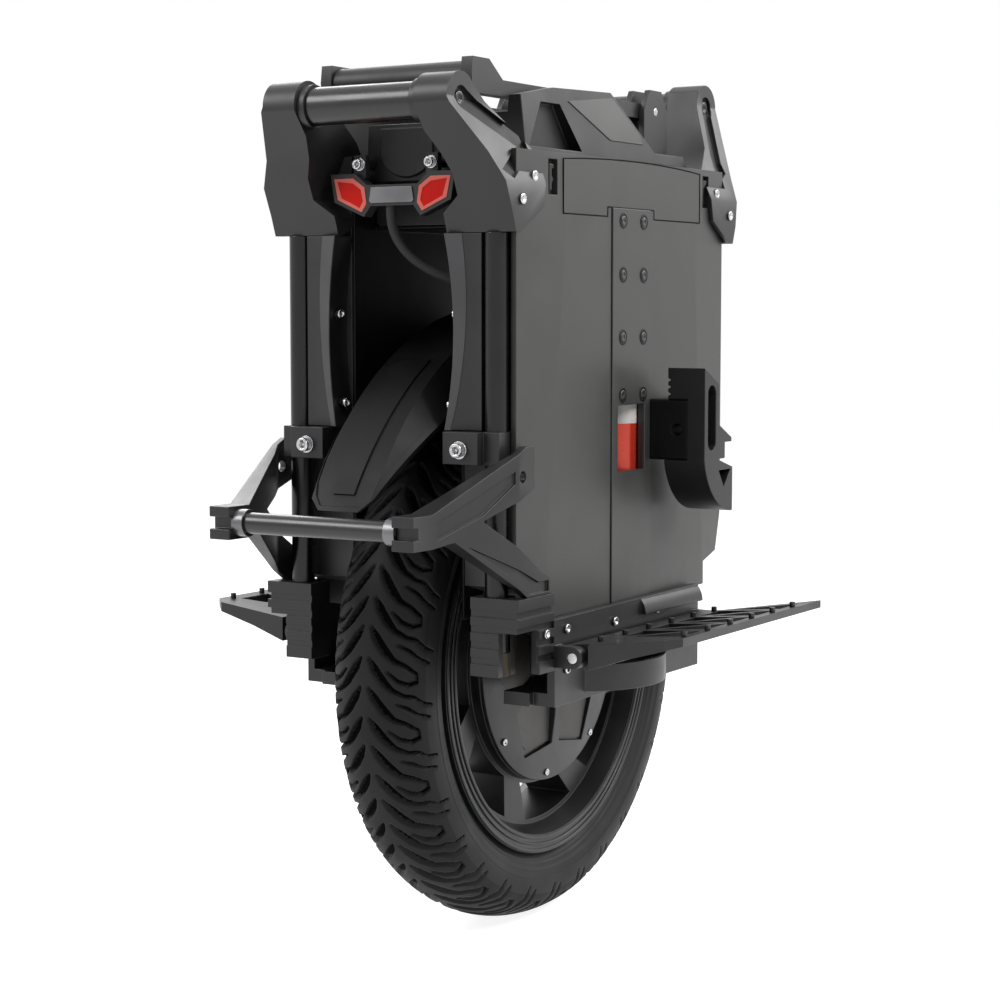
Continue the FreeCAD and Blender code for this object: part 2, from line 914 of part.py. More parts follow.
def make_axle():
    """Axle with a shoulder against each hanger block, and its two nuts."""
    body = new_body("axle", d.tyre_radius)
    shoulder = d.shell_half + d.cover_rise + d.seat_gap
    half = [
        (shoulder, d.axle_radius),
        (shoulder, d.axle_shoulder),
        (d.block_inner, d.axle_shoulder),
        (d.block_inner, d.axle_radius),
        (d.axle_half, d.axle_radius),
        (d.axle_half, 0),
    ]
    turn(body, [half + [(-u, v) for u, v in reversed(half)]])
    keep(body, "axle")
    nut = new_body("axle_nut", d.tyre_radius)
    hexagon = [polar(d.nut_radius, 60 * corner) for corner in range(6)]
    pad(nut, "XZ_Plane", [hexagon, Circle(0, 0, d.axle_radius)], d.block_inner + d.block_thick, d.nut_thick)
    keep_both(nut, "axle_nuts")


def make_hanger():
    """Hanger: axle block, beam under the case, outer plate, pedal hinge ears, stop guard and kick lip."""
    body = new_body("hanger")
    outer = d.plate_inner + d.plate_thick
    beam = [
        (-d.beam_rear, -d.beam_narrow),
        (-d.beam_rear, -d.beam_wide),
        (d.plate_rear, -d.beam_wide),
        (d.plate_rear, -outer),
        (d.plate_front, -outer),
        (d.plate_front, -d.beam_wide),
        (d.beam_end, -d.beam_narrow),
        (d.beam_end, -d.beam_inner),
        (-d.beam_taper / 2, -d.beam_inner),
        (-d.beam_taper, -d.beam_narrow),
    ]
    pad(body, "XY_Plane", [beam], d.beam_bottom, d.beam_top - d.beam_bottom)
    crest = d.block_half + d.block_crest
    block = [
        (-d.block_half, d.block_bottom),
        (d.block_half, d.block_bottom),
        (d.block_half, d.tyre_radius, crest),
        (-d.block_half, d.tyre_radius),
    ]
    pad(body, "XZ_Plane", [block], d.block_inner, d.block_thick)
    plate = [
        (d.plate_rear, d.beam_bottom),
        (d.plate_front, d.beam_bottom),
        (d.plate_front, d.plate_top + d.plate_rise),
        (d.plate_rear, d.plate_top),
    ]
    pad(body, "XZ_Plane", [plate], d.plate_inner, d.plate_thick)
    ear_out = d.hinge_y + d.knuckle_radius
    ear = rectangle(-ear_out, d.hinge_z - d.knuckle_radius, -outer, d.hinge_z + d.knuckle_radius)
    pad(body, "YZ_Plane", [ear], d.plate_rear, d.ear_width)
    pad(body, "YZ_Plane", [ear], d.plate_front - d.ear_width, d.ear_width)
    inner_bend = d.guard_bend - d.guard_wall
    guard = [
        (d.guard_rear, -outer, d.guard_bend),
        (d.guard_front, -outer),
        (d.guard_front - d.guard_wall, -outer, -inner_bend),
        (d.guard_rear + d.guard_wall, -outer),
    ]
    pad(body, "XY_Plane", [guard], d.guard_bottom, d.guard_top - d.guard_bottom)
    lip = [
        (-outer, d.plate_top),
        (-outer, d.plate_top - d.kick_drop),
        (-outer - d.kick_reach, d.plate_top - d.kick_drop, -d.kick_bend),
    ]
    pad(body, "YZ_Plane", [lip], d.kick_rear, d.plate_front - d.kick_rear)
    pocket(body, "XZ_Plane", [Circle(0, d.tyre_radius, d.axle_radius)], d.block_inner, d.block_thick)
    face = d.block_inner + d.block_thick
    room = Circle(0, d.tyre_radius, d.nut_radius + d.nut_room)
    pocket(body, "XZ_Plane", [room], face, d.axle_half + d.seat_gap - face)
    reach = d.plate_front - d.plate_rear
    pocket(body, "YZ_Plane", [Circle(-d.hinge_y, d.hinge_z, d.pin_radius)], d.plate_rear, reach)
    round_edges(body, d.knuckle_radius - d.seat_gap, ear_corner)
    keep_pair(body, "hanger")
    pin = prism("pedal_pin", "YZ_Plane", [Circle(-d.hinge_y, d.hinge_z, d.pin_radius)], d.plate_rear, reach)
    keep_both(pin, "pedal_pins")


def ear_corner(a, b):
    """Picks the two outboard edges of each pedal ear."""
    reach = d.hinge_y.value + d.knuckle_radius.value
    outboard = abs(a.y + reach) < 1e-6 and abs(b.y + reach) < 1e-6
    return outboard and abs(a.z - b.z) < 1e-6


def pedal_outline(inset):
    """Returns the pedal's plan outline, drawn in by an inset."""
    return [
        (d.pedal_rear + inset, -d.pedal_wide - inset),
        (d.pedal_rear + inset, -d.pedal_outer + d.pedal_corner + inset),
        (d.pedal_rear + d.pedal_corner + inset, -d.pedal_outer + inset),
        (d.pedal_front - inset * 2, -d.pedal_outer + inset),
        (d.pedal_front - d.pedal_nose - inset, -d.pedal_wide - inset),
    ]


def make_pedal():
    """Pedal: a wedge-section frame with a hinge barrel, open cells between slanted ribs, and studs."""
    root_rear = d.plate_rear + d.ear_width + d.ear_gap
    root_front = d.plate_front - d.ear_width - d.ear_gap
    plan = pedal_outline(Size.of(0))
    plan += [(root_front, -d.pedal_wide), (root_front, -d.pedal_inner)]
    plan += [(root_rear, -d.pedal_inner), (root_rear, -d.pedal_wide)]
    low = d.pedal_root_z - d.pedal_edge
    slab = prism("pedal_plan", "XY_Plane", [plan], low, d.pedal_outer_top + d.pedal_edge - low)
    section = [
        (-d.pedal_inner, d.pedal_inner_top),
        (-d.pedal_outer, d.pedal_outer_top),
        (-d.pedal_outer, d.pedal_outer_top - d.pedal_edge),
        (-d.pedal_keel_y, d.pedal_keel_z),
        (-d.hinge_y - d.knuckle_radius, d.pedal_root_z),
        (-d.hinge_y, d.hinge_z - d.knuckle_radius),
        (-d.pedal_inner, d.hinge_z - d.pin_radius),
    ]
    wedge = prism("pedal_section", "YZ_Plane", [section], d.pedal_rear, d.pedal_front - d.pedal_rear)
    frame = boolean("Common", "pedal_frame", slab, wedge)
    inner = -d.hinge_y - d.knuckle_radius - d.pedal_rim / 2
    outer = -d.pedal_outer + d.pedal_rim
    start = d.pedal_rear + d.pedal_rear_margin
    pitch = (d.pedal_front - d.pedal_front_margin - start) / d.pedal_cells
    half_rib = d.pedal_rib / 2
    share = d.pedal_rib / pitch
    cells = []
    for cell in range(int(SIZES["pedal_cells"])):
        left = start + pitch * cell
        right = left + pitch
        middle = left + pitch / 2
        root = (middle, inner + (outer - inner) * share)
        cells.append([(left + half_rib, outer), (right - half_rib, outer), root])
        if cell > 0:
            before = middle - pitch
            tip = (left, outer + (inner - outer) * share)
            cells.append([(before + half_rib, inner), tip, (middle - half_rib, inner)])
    drill = prism("pedal_cells", "XY_Plane", cells, low, d.pedal_outer_top + d.pedal_edge - low)
    opened = boolean("Cut", "pedal_opened", frame, drill)
    hole = Circle(-d.hinge_y, d.hinge_z, d.pin_radius + d.running_gap)
    bore = prism("pedal_bore", "YZ_Plane", [hole], d.pedal_rear, d.pedal_front - d.pedal_rear)
    right_pedal = boolean("Cut", "pedal", opened, bore)
    keep_pair(right_pedal, "pedal")

    slope = (d.pedal_outer_top - d.pedal_inner_top) / (d.pedal_outer - d.pedal_inner)
    rim = d.pedal_rim / 2
    studs = []
    count = int(SIZES["studs_per_edge"])
    span = d.pedal_front - d.pedal_nose - d.pedal_rim - start
    for y in (d.pedal_outer - rim, d.hinge_y + d.knuckle_radius + d.stud_radius):
        top = d.pedal_inner_top + slope * (y - d.stud_radius - d.pedal_inner)
        for number in range(count):
            x = start + span * (number / (count - 1))
            studs.append(prism("stud", "XY_Plane", [Circle(x, -y, d.stud_radius)], top, d.stud_height))
    comb = document.addObject("Part::MultiFuse", "studs")
    comb.Shapes = studs
    trimmed = boolean("Cut", "pedal_studs", comb, right_pedal)
    keep_pair(trimmed, "pedal_studs")


def make_sliders():
    """Sliders that run on the stanchions: ribbed, with a cheek, at the rear, and plain at the front."""
    rear = new_body("rear_slider")
    height = d.slider_top - d.slider_bottom
    column = rectangle(-d.slider_back, -d.slider_outer, -d.beam_end, -d.slider_inner)
    pad(rear, "XY_Plane", [column], d.slider_bottom, height)
    link = [
        (-d.slider_back, -d.slider_outer + d.slider_wall),
        (d.link_front, -d.slider_outer + d.slider_wall),
        (d.link_front, -d.cheek_inner),
        (d.plate_rear, -d.cheek_inner),
        (d.plate_rear, -d.cheek_outer),
        (-d.slider_back, -d.cheek_outer),
    ]
    pad(rear, "XY_Plane", [link], d.link_bottom, d.slider_top - d.link_bottom)
    cheek = rectangle(d.cheek_step, -d.cheek_outer, d.plate_rear, -d.cheek_inner)
    pad(rear, "XY_Plane", [cheek], d.slider_bottom, height)
    pitch = height / (d.ribs + 1)
    for number in range(int(SIZES["ribs"])):
        low = d.slider_bottom + pitch * (number + 1) - d.rib_width / 2
        groove = rectangle(-d.slider_back, low, d.plate_rear, low + d.rib_width)
        pocket(rear, "XZ_Plane", [groove], d.cheek_outer - d.rib_depth, d.rib_depth)
        groove = rectangle(-d.cheek_outer, low, -d.slider_inner, low + d.rib_width)
        pocket(rear, "YZ_Plane", [groove], -d.slider_back, d.column_rib_depth)
    bore = Circle(d.rear_stanchion_x, -d.rear_stanchion_y, d.bush_radius)
    pocket(rear, "XY_Plane", [bore], d.slider_bottom, height)
    keep_pair(rear, "rear_slider")
    front = new_body("front_slider")
    column = rectangle(d.beam_end, -d.front_slider_outer, d.slider_back, -d.front_slider_inner)
    height = d.slider_top - d.beam_bottom
    pad(front, "XY_Plane", [column], d.beam_bottom, height)
    bore = Circle(d.front_stanchion_x, -d.front_stanchion_y, d.bush_radius)
    pocket(front, "XY_Plane", [bore], d.beam_bottom, height)
    keep_both(front, "front_sliders")
    bore = d.stanchion_radius + d.running_gap
    bushes = []
    places = (
        (d.rear_stanchion_x, d.rear_stanchion_y, d.slider_bottom),
        (d.front_stanchion_x, d.front_stanchion_y, d.beam_bottom),
    )
    for x, y, bottom in places:
        for low in (bottom, d.slider_top - d.bush_length):
            rings = [Circle(x, -y, d.bush_radius), Circle(x, -y, bore)]
            bushes.append(prism("slider_bush", "XY_Plane", rings, low, d.bush_length))
    group("slider_bushes", bushes + [mirror(bush, "slider_bush_left") for bush in bushes])


def make_bumper():
    """Rear bumper: two flared arms with struts, the cross bar and its collars."""
    clamp = d.bumper_clamp
    tip_low = d.bumper_tip_top - d.bumper_tip_height
    side = [
        (d.bumper_back, d.bar_z - clamp),
        (d.bar_x + clamp, d.bar_z - clamp),
        (d.strut_root_x, d.strut_root_z),
        (d.strut_foot_rear, d.slider_top),
        (d.strut_foot_front, d.slider_top),
        (d.strut_foot_front, d.slider_top + d.strut_foot_height),
        (d.strut_neck_x, d.slider_top + d.strut_neck_height),
        (d.strut_crotch_x, d.strut_crotch_z),
        (d.bumper_tip_x, tip_low),
        (d.bumper_tip_x, d.bumper_tip_top),
        (d.bumper_tip_x - d.strut_foot_height, d.bumper_tip_top),
        (d.bar_x + clamp, d.bar_z + clamp),
        (d.bumper_back, d.bar_z + clamp),
    ]
    depth = d.bumper_tip_outer - d.bar_half
    profile = prism("bumper_side", "XZ_Plane", [side], d.bar_half, depth)
    plan = [
        (d.bumper_back, -d.bar_half),
        (d.bar_x + clamp, -d.bar_half),
        (d.bumper_flare_x, -d.bumper_flare_inner),
        (d.bumper_flat_x, -d.bumper_tip_inner),
        (d.strut_foot_front, -d.bumper_tip_inner),
        (d.strut_foot_front, -d.bumper_tip_outer),
        (d.bumper_flat_x, -d.bumper_tip_outer),
        (d.bar_x + clamp, -d.bumper_outer),
        (d.bumper_back, -d.bumper_outer),
    ]
    spread = prism("bumper_plan", "XY_Plane", [plan], d.slider_top, d.bumper_tip_top - d.slider_top)
    arm = boolean("Common", "bumper_arm", profile, spread)
    notch = rectangle(
        d.bumper_back, d.bar_z - d.notch_half, d.bumper_back + d.notch_depth, d.bar_z + d.notch_half
    )
    hole = Circle(d.bumper_hole_x, d.bumper_hole_z, d.bumper_hole_radius)
    drill = prism("bumper_holes", "XZ_Plane", [hole, notch], d.bar_half, depth)
    drilled = boolean("Cut", "bumper_drilled", arm, drill)
    border = d.recess_border
    arm_panel = [
        (d.bar_x + clamp + border, d.bar_z - clamp / 2),
        (d.strut_crotch_x, d.strut_crotch_z + border),
        (d.bumper_hole_x - d.bumper_hole_radius - border, d.bumper_hole_z - d.bumper_hole_radius),
        (d.bumper_hole_x - d.bumper_hole_radius - border, d.bumper_hole_z + d.bumper_hole_radius),
        (d.bar_x + clamp + border, d.bar_z + clamp / 2),
    ]
    strut_panel = [
        (d.strut_root_x + 3 * border, d.strut_root_z - border),
        (d.strut_foot_rear + border, d.slider_top + border / 2),
        (d.strut_foot_front - border / 2, d.slider_top + border / 2),
        (d.strut_foot_front - border / 2, d.slider_top + d.strut_foot_height - border / 2),
        (d.strut_neck_x - border, d.slider_top + d.strut_foot_height - border / 2),
    ]
    panels = prism("bumper_panels", "XZ_Plane", [arm_panel, strut_panel], d.bar_half, depth + d.recess_depth)
    outer_line = [
        (d.bumper_back, -d.bumper_outer),
        (d.bar_x + clamp, -d.bumper_outer),
        (d.bumper_flat_x, -d.bumper_tip_outer),
        (d.strut_foot_front, -d.bumper_tip_outer),
    ]
    inside = [(u, v + d.recess_depth) for u, v in outer_line]
    outside = [(u, v - d.recess_depth) for u, v in reversed(outer_line)]
    height = d.bumper_tip_top - d.slider_top
    skin = prism("bumper_skin", "XY_Plane", [inside + outside], d.slider_top, height)
    recess = boolean("Common", "bumper_recess", panels, skin)
    keep_pair(boolean("Cut", "bumper_arm_recessed", drilled, recess), "bumper_arm")
    rod = Circle(d.bar_x, d.bar_z, d.bar_radius)
    keep(prism("bumper_bar", "XZ_Plane", [rod], -d.bar_half, 2 * d.bar_half), "bumper_bar")
    rings = [Circle(d.bar_x, d.bar_z, d.collar_radius), Circle(d.bar_x, d.bar_z, d.bar_radius)]
    collar = prism("bumper_collar", "XZ_Plane", rings, d.bar_half - d.collar_width, d.collar_width)
    keep_both(collar, "bumper_collars")


def make_shocks():
    """Shock absorbers: a can hung in each case's channel and a shaft that stands on the hanger's beam."""
    can = new_body("shock_body")
    barrel_low = d.shock_can_bottom + d.shock_boot
    barrel = Circle(d.shock_x, -d.shock_y, d.shock_can_radius)
    neck = Circle(d.shock_x, -d.shock_y, d.shock_neck_radius)
    pad(can, "XY_Plane", [barrel], barrel_low, d.shock_can_top - barrel_low)
    pad(can, "XY_Plane", [neck], d.shock_can_bottom, d.shock_boot)
    pad(can, "XY_Plane", [neck], d.shock_can_top, d.channel_top - d.shock_can_top)
    depth = d.shock_shaft_top + d.travel + d.pack_gap - d.shock_can_bottom
    bore = Circle(d.shock_x, -d.shock_y, d.shock_shaft_radius + d.running_gap)
    pocket(can, "XY_Plane", [bore], d.shock_can_bottom, depth)
    keep_both(can, "shock_bodies")
    rod = Circle(d.shock_x, -d.shock_y, d.shock_shaft_radius)
    shaft = prism("shock_shaft", "XY_Plane", [rod], d.beam_top, d.shock_shaft_top - d.beam_top)
    keep_both(shaft, "shock_shafts")


def case_plan(rear_crease, front_crease):
    """Returns a case's plan outline, with its side skin overhanging both ends."""
    return [
        (-d.case_end, -d.case_inner),
        (-d.case_end, -d.skin_inner),
        (-d.skin_end, -d.skin_inner),
        (-d.skin_end, -d.skin_edge),
        (rear_crease, -d.skin_crown),
        (front_crease, -d.skin_crown),
        (d.skin_end, -d.skin_edge),
        (d.skin_end, -d.skin_inner),
        (d.case_end, -d.skin_inner),
        (d.case_end, -d.case_inner),
    ]


def side_cover_outline(gap):
    """Returns the outline of a side cover, stepped round the centre strip and grown by a gap."""
    rise = d.strip_top + d.seat_gap - gap
    return [
        (d.side_cover_rear - gap, d.side_cover_bottom - gap),
        (-d.strip_half - d.side_cover_step + gap, d.side_cover_bottom - gap),
        (-d.strip_half - d.side_cover_step + gap, rise),
        (d.strip_half + d.side_cover_step - gap, rise),
        (d.strip_half + d.side_cover_step - gap, d.side_cover_bottom - gap),
        (d.side_cover_front + gap, d.side_cover_bottom - gap),
        (d.side_cover_front + gap, d.side_cover_top + gap, d.side_cover_bend),
        (d.side_cover_rear - gap, d.side_cover_top + gap),
    ]


def make_case():
    """Battery case: a creased outer skin on a box with two battery bays and an open shock channel."""
    body = new_body("battery_case")
    loft = body.newObject("PartDesign::AdditiveLoft", "Skin")
    low_plan = case_plan(d.crease_rear_bottom, d.crease_front_bottom)
    high_plan = case_plan(d.crease_rear_top, d.crease_front_top)
    loft.Profile = draw(body, "XY_Plane", [low_plan], d.case_bottom)
    loft.Sections = [draw(body, "XY_Plane", [high_plan], d.case_top)]
    loft.Ruled = True
    depth = d.skin_crown - d.case_inner + d.seat_gap
    below = d.case_bottom - d.seat_gap
    for side in (1, -1):
        edge = side * (d.skin_end + d.seat_gap)
        corner = [
            (edge, below),
            (edge, d.corner_high),
            (side * d.corner_mid_x, d.corner_mid),
            (side * d.corner_low_x, d.corner_low),
            (side * d.corner_low_x, below),
        ]
        pocket(body, "XZ_Plane", [corner], d.case_inner, depth)
    bay = d.channel_half + d.rib_wall
    end = d.case_end - d.bay_wall
    bays = [rectangle(bay, d.bay_bottom, end, d.bay_top), rectangle(-end, d.bay_bottom, -bay, d.bay_top)]
    pocket(body, "XZ_Plane", bays, d.case_inner, d.skin_inner - d.case_inner)
    channel = rectangle(-d.channel_half, below, d.channel_half, d.channel_top)
    pocket(body, "XZ_Plane", [channel], d.case_inner, d.channel_outer - d.case_inner)
    window = rectangle(-d.window_half, d.window_bottom, d.window_half, d.window_top)
    pocket(body, "XZ_Plane", [window], d.channel_outer, d.skin_crown - d.channel_outer)
    floor = d.skin_crown - d.side_cover_depth
    pocket(body, "XZ_Plane", [side_cover_outline(d.seat_gap)], floor, d.side_cover_depth)
    low = d.latch_middle - d.latch_half
    high = d.latch_middle + d.latch_half
    latch_floor = d.skin_inner + d.latch_floor
    for edge, side in ((d.side_cover_rear, -1), (d.side_cover_front, 1)):
        near = edge + side * d.latch_gap
        slot = rectangle(near, low, near + side * d.latch_width, high)
        pocket(body, "XZ_Plane", [slot], latch_floor, d.skin_crown - latch_floor)
    keep_pair(body, "battery_case")

    packs = []
    thick = d.skin_inner - d.case_inner - d.pack_gap
    for side in (1, -1):
        low = side * (bay + d.pack_gap)
        high = side * (end - d.pack_gap)
        block = rectangle(low, d.bay_bottom, high, d.bay_top - d.pack_gap)
        packs.append(prism("pack", "XZ_Plane", [block], d.case_inner, thick))
        round_edges(packs[-1], d.pack_round, along(1))
    group("battery_packs", packs + [mirror(pack, "pack_left") for pack in packs])

    cover = prism("side_cover", "XZ_Plane", [side_cover_outline(Size.of(0))], floor, d.side_cover_depth)
    keep_pair(cover, "side_cover")
    strip = rectangle(-d.strip_half, d.plate_top, d.strip_half, d.strip_top)
    plate = prism("centre_strip", "XZ_Plane", [strip, window], d.skin_crown, d.strip_thick)
    keep_both(plate, "centre_strips")


def fender_outline(inset, crown):
    """Returns the fender's outline from behind, drawn in by an inset: a blunt tip that widens to the arch."""
    return [
        (-d.fender_tip_half, d.fender_tip_z + inset),
        (d.fender_tip_half, d.fender_tip_z + inset),
        (d.fender_chin_half - inset, d.fender_chin_z + inset / 2),
        (d.fender_mid_half - inset, d.fender_mid_z),
        (d.arch_inner - inset, d.fender_wide_z + inset),
        (d.arch_inner - inset, crown - inset),
        (-d.arch_inner + inset, crown - inset),
        (-d.arch_inner + inset, d.fender_wide_z + inset),
        (-d.fender_mid_half + inset, d.fender_mid_z),
        (-d.fender_chin_half + inset, d.fender_chin_z + inset / 2),
    ]


def make_arch():
    """Wheel arch between the cases, the controller box over it and the fender inside it."""
    body = new_body("wheel_arch")
    wall = [
        (-d.case_end, d.case_bottom),
        (-d.arch_notch_half, d.case_bottom),
        (-d.arch_notch_half, d.arch_notch_top),
        (d.arch_notch_half, d.arch_notch_top),
        (d.arch_notch_half, d.case_bottom),
        (d.case_end, d.case_bottom),
        (d.case_end, d.case_top),
        (-d.case_end, d.case_top),
    ]
    thick = d.case_inner - d.seat_gap - d.arch_inner
    roof = d.controller_half_length
    ceiling = rectangle(-roof, -d.arch_inner - thick / 2, d.case_end, d.arch_inner + thick / 2)
    pad(body, "XY_Plane", [ceiling], d.arch_ceiling, d.arch_ceiling_thick)
    pad(body, "XZ_Plane", [wall], d.arch_inner, thick)
    pad(body, "XZ_Plane", [wall], -d.arch_inner - thick, thick)
    keep(body, "wheel_arch")

    length = 2 * d.controller_half_length
    half = d.controller_half_width
    section = rectangle(-half, d.controller_bottom, half, d.case_top - d.seat_gap)
    controller = prism("controller_box", "YZ_Plane", [section], -d.controller_half_length, length)
    round_edges(controller, d.cover_edge, along(0))
    keep(controller, "controller_box")

    ring = new_body("fender_ring", d.tyre_radius)
    thick = d.fender_thick
    flank = d.fender_radius - d.fender_flank
    lip = flank - d.fender_lip
    half = [
        (d.fender_flat, d.fender_radius),
        (d.arch_inner, flank),
        (d.arch_inner, lip),
        (d.arch_inner - thick, lip),
        (d.arch_inner - thick, flank - d.fender_lining),
        (d.fender_flat - d.fender_lining, d.fender_radius - thick),
    ]
    turn(ring, [half + [(-u, v) for u, v in reversed(half)]])
    crown = d.tyre_radius + d.fender_radius + d.fender_rise
    outline = fender_outline(Size.of(0), crown)
    reach = prism("fender_reach", "YZ_Plane", [outline], -crown, crown)
    sheet_metal = boolean("Common", "fender_sheet", ring, reach)
    raised = new_body("fender_raised", d.tyre_radius)
    skin = [(d.arch_inner, flank), (d.fender_flat, d.fender_radius)]
    skin += [(-u, v) for u, v in reversed(skin)]
    turn(raised, [skin + [(u, v + d.fender_rise) for u, v in reversed(skin)]])
    spine = [
        (-d.fender_spine_low, d.fender_spine_bottom),
        (d.fender_spine_low, d.fender_spine_bottom),
        (d.fender_spine_high, d.fender_spine_top),
        (-d.fender_spine_high, d.fender_spine_top),
    ]
    hollow = fender_outline(d.fender_border, crown + d.fender_rise)
    field = prism("fender_field", "YZ_Plane", [outline, hollow], -crown, crown)
    ridge = prism("fender_ridge", "YZ_Plane", [spine], -crown, crown)
    relief = boolean("Common", "fender_relief", raised, boolean("Fuse", "fender_pattern", field, ridge))
    keep(boolean("Fuse", "fender", sheet_metal, relief), "fender")


def arm_side(tube_x, tube_z, elbow_x, neck):
    """Returns the side outline of a handle arm, from its tube loop down to its bolted plate."""
    loop = d.loop_radius
    turns = ("loop_start", "loop_middle", "loop_end")
    first, middle, last = (polar(loop, SIZES[name]) for name in turns)
    return [
        (first[0] - tube_x, tube_z + first[1], loop),
        (middle[0] - tube_x, tube_z + middle[1], loop),
        (last[0] - tube_x, tube_z + last[1]),
        (-elbow_x, d.arm_elbow_z),
        (-d.arm_heel_x, d.arm_heel_z),
        (-d.arm_sole_x, d.arm_foot_z),
        (-d.arm_toe_x, d.arm_foot_z),
        (-d.arm_plate_x, d.arm_plate_low),
        (-d.arm_brow_x, d.arm_plate_high),
        (-d.arm_front_x, d.arm_front_z),
        *neck,
    ]


def arm_groove(tube_x, tube_z, crook, tail, corner):
    """Returns the side outline of the groove in a handle arm: round the tube, down the arm, then back."""
    eye = d.groove_radius
    turns = ("groove_start", "groove_middle", "groove_end")
    first, middle, last = (polar(eye, SIZES[name]) for name in turns)
    return [
        (first[0] - tube_x, tube_z + first[1], eye),
        (middle[0] - tube_x, tube_z + middle[1], eye),
        (last[0] - tube_x, tube_z + last[1]),
        (-crook[0], crook[1]),
        (-tail[0], tail[1]),
        (-tail[0] + d.groove_tail_width, tail[1] - d.groove_tail_width / 2),
        (-corner[0], corner[1] - d.groove_tail_width / 2),
        (-corner[0], corner[1] + d.groove_tail_width / 2),
    ]


def arm_back(tube_z):
    """Returns the rear outline of a handle arm: slim at the tube, waisted at the lamp, wide at its foot."""
    crest = tube_z + d.loop_radius
    return [
        (-d.arm_top_inner, crest),
        (-d.arm_top_inner, d.arm_neck_z),
        (-d.arm_waist_inner, d.arm_waist_z),
        (-d.arm_waist_inner, d.arm_waist_foot),
        (-d.arm_foot_inner, d.arm_foot_top),
        (-d.arm_foot_inner, d.arm_foot_z),
        (-d.arm_outer, d.arm_foot_z),
        (-d.arm_outer, d.arm_flare_z),
        (-d.arm_top_outer, tube_z),
        (-d.arm_top_outer, crest),
    ]


def make_arm(name, tube_x, tube_z, outline, line):
    """Returns one handle arm on the right, drawn at the rear: outline is its side, line its groove."""
    depth = d.arm_outer - d.arm_foot_inner
    side = prism(f"{name}_side", "XZ_Plane", [outline], d.arm_foot_inner, depth)
    reach = tube_x + d.loop_radius
    back = prism(f"{name}_back", "YZ_Plane", [arm_back(tube_z)], -reach, reach)
    casting = boolean("Common", f"{name}_casting", side, back)
    top = d.case_top + d.seat_gap
    plan = [
        (-d.case_end - d.seat_gap, -d.arm_foot_inner),
        (-d.case_end - d.seat_gap, -d.skin_inner + d.seat_gap),
        (-d.skin_end - d.seat_gap, -d.skin_inner + d.seat_gap),
        (-d.skin_end - d.seat_gap, -d.arm_plate_inner),
        (0, -d.arm_plate_inner),
        (0, -d.arm_foot_inner),
    ]
    space = prism(f"{name}_space", "XY_Plane", [plan], d.arm_foot_z, top - d.arm_foot_z)
    seated = boolean("Cut", f"{name}_seated", casting, space)
    floor = d.arm_outer - d.groove_depth
    crest = tube_z + d.loop_radius
    beyond = [
        (-d.arm_top_outer + d.groove_depth, crest),
        (-d.arm_top_outer + d.groove_depth, tube_z),
        (-floor, d.arm_flare_z),
        (-floor, d.arm_foot_z),
        (-d.arm_outer - d.groove_depth, d.arm_foot_z),
        (-d.arm_outer - d.groove_depth, crest),
    ]
    channel = prism(f"{name}_channel", "XZ_Plane", [line], d.arm_foot_inner, depth + d.groove_depth)
    outside = prism(f"{name}_beyond", "YZ_Plane", [beyond], -reach, reach)
    return boolean("Cut", name, seated, boolean("Common", f"{name}_groove", channel, outside))


def make_handles():
    """Carrying handles: slanted cast arms at the rear, upright ones at the front, round tubes and collars."""
    x, z = d.tube_x, d.tube_z
    crook, tail = (d.groove_crook_x, d.groove_crook_z), (d.groove_tail_x, d.groove_tail_z)
    line = arm_groove(x, z, crook, tail, (d.groove_corner_x, d.groove_corner_z))
    keep_pair(make_arm("rear_handle_arm", x, z, arm_side(x, z, d.arm_elbow_x, []), line), "rear_handle_arm")
    far, high = d.front_tube_x, d.front_tube_z
    crook, tail = (d.front_crook_x, d.front_crook_z), (d.front_tail_x, d.front_tail_z)
    line = arm_groove(far, high, crook, tail, (d.front_corner_x, d.front_crook_z))
    outline = arm_side(far, high, d.front_elbow_x, [(-d.front_neck_x, d.front_neck_z)])
    forward = Vector(1, 0, 0)
    upright = make_arm("upright_arm", far, high, outline, line)
    keep_both(mirror(upright, "front_handle_arm_right", forward), "front_handle_arms")
    width = d.handle_collar_width
    long = 2 * d.arm_top_inner
    collars = []
    for end, centre in (("rear", (-x, z)), ("front", (-far, high))):
        middle = Circle(*centre, d.tube_radius)
        rings = [Circle(*centre, d.handle_collar_radius), middle]
        tube = prism(f"{end}_tube", "XZ_Plane", [middle], -d.arm_top_inner, long)
        collar = prism(f"{end}_collar", "XZ_Plane", rings, d.arm_top_inner - width, width)
        pair = [collar, mirror(collar, f"{end}_collar_left")]
        if end == "front":
            tube = mirror(tube, "front_tube_forward", forward)
            pair = [mirror(ring, f"{ring.Name}_forward", forward) for ring in pair]
        keep(tube, f"{end}_handle_tube")
        collars += pair
    group("handle_collars", collars)


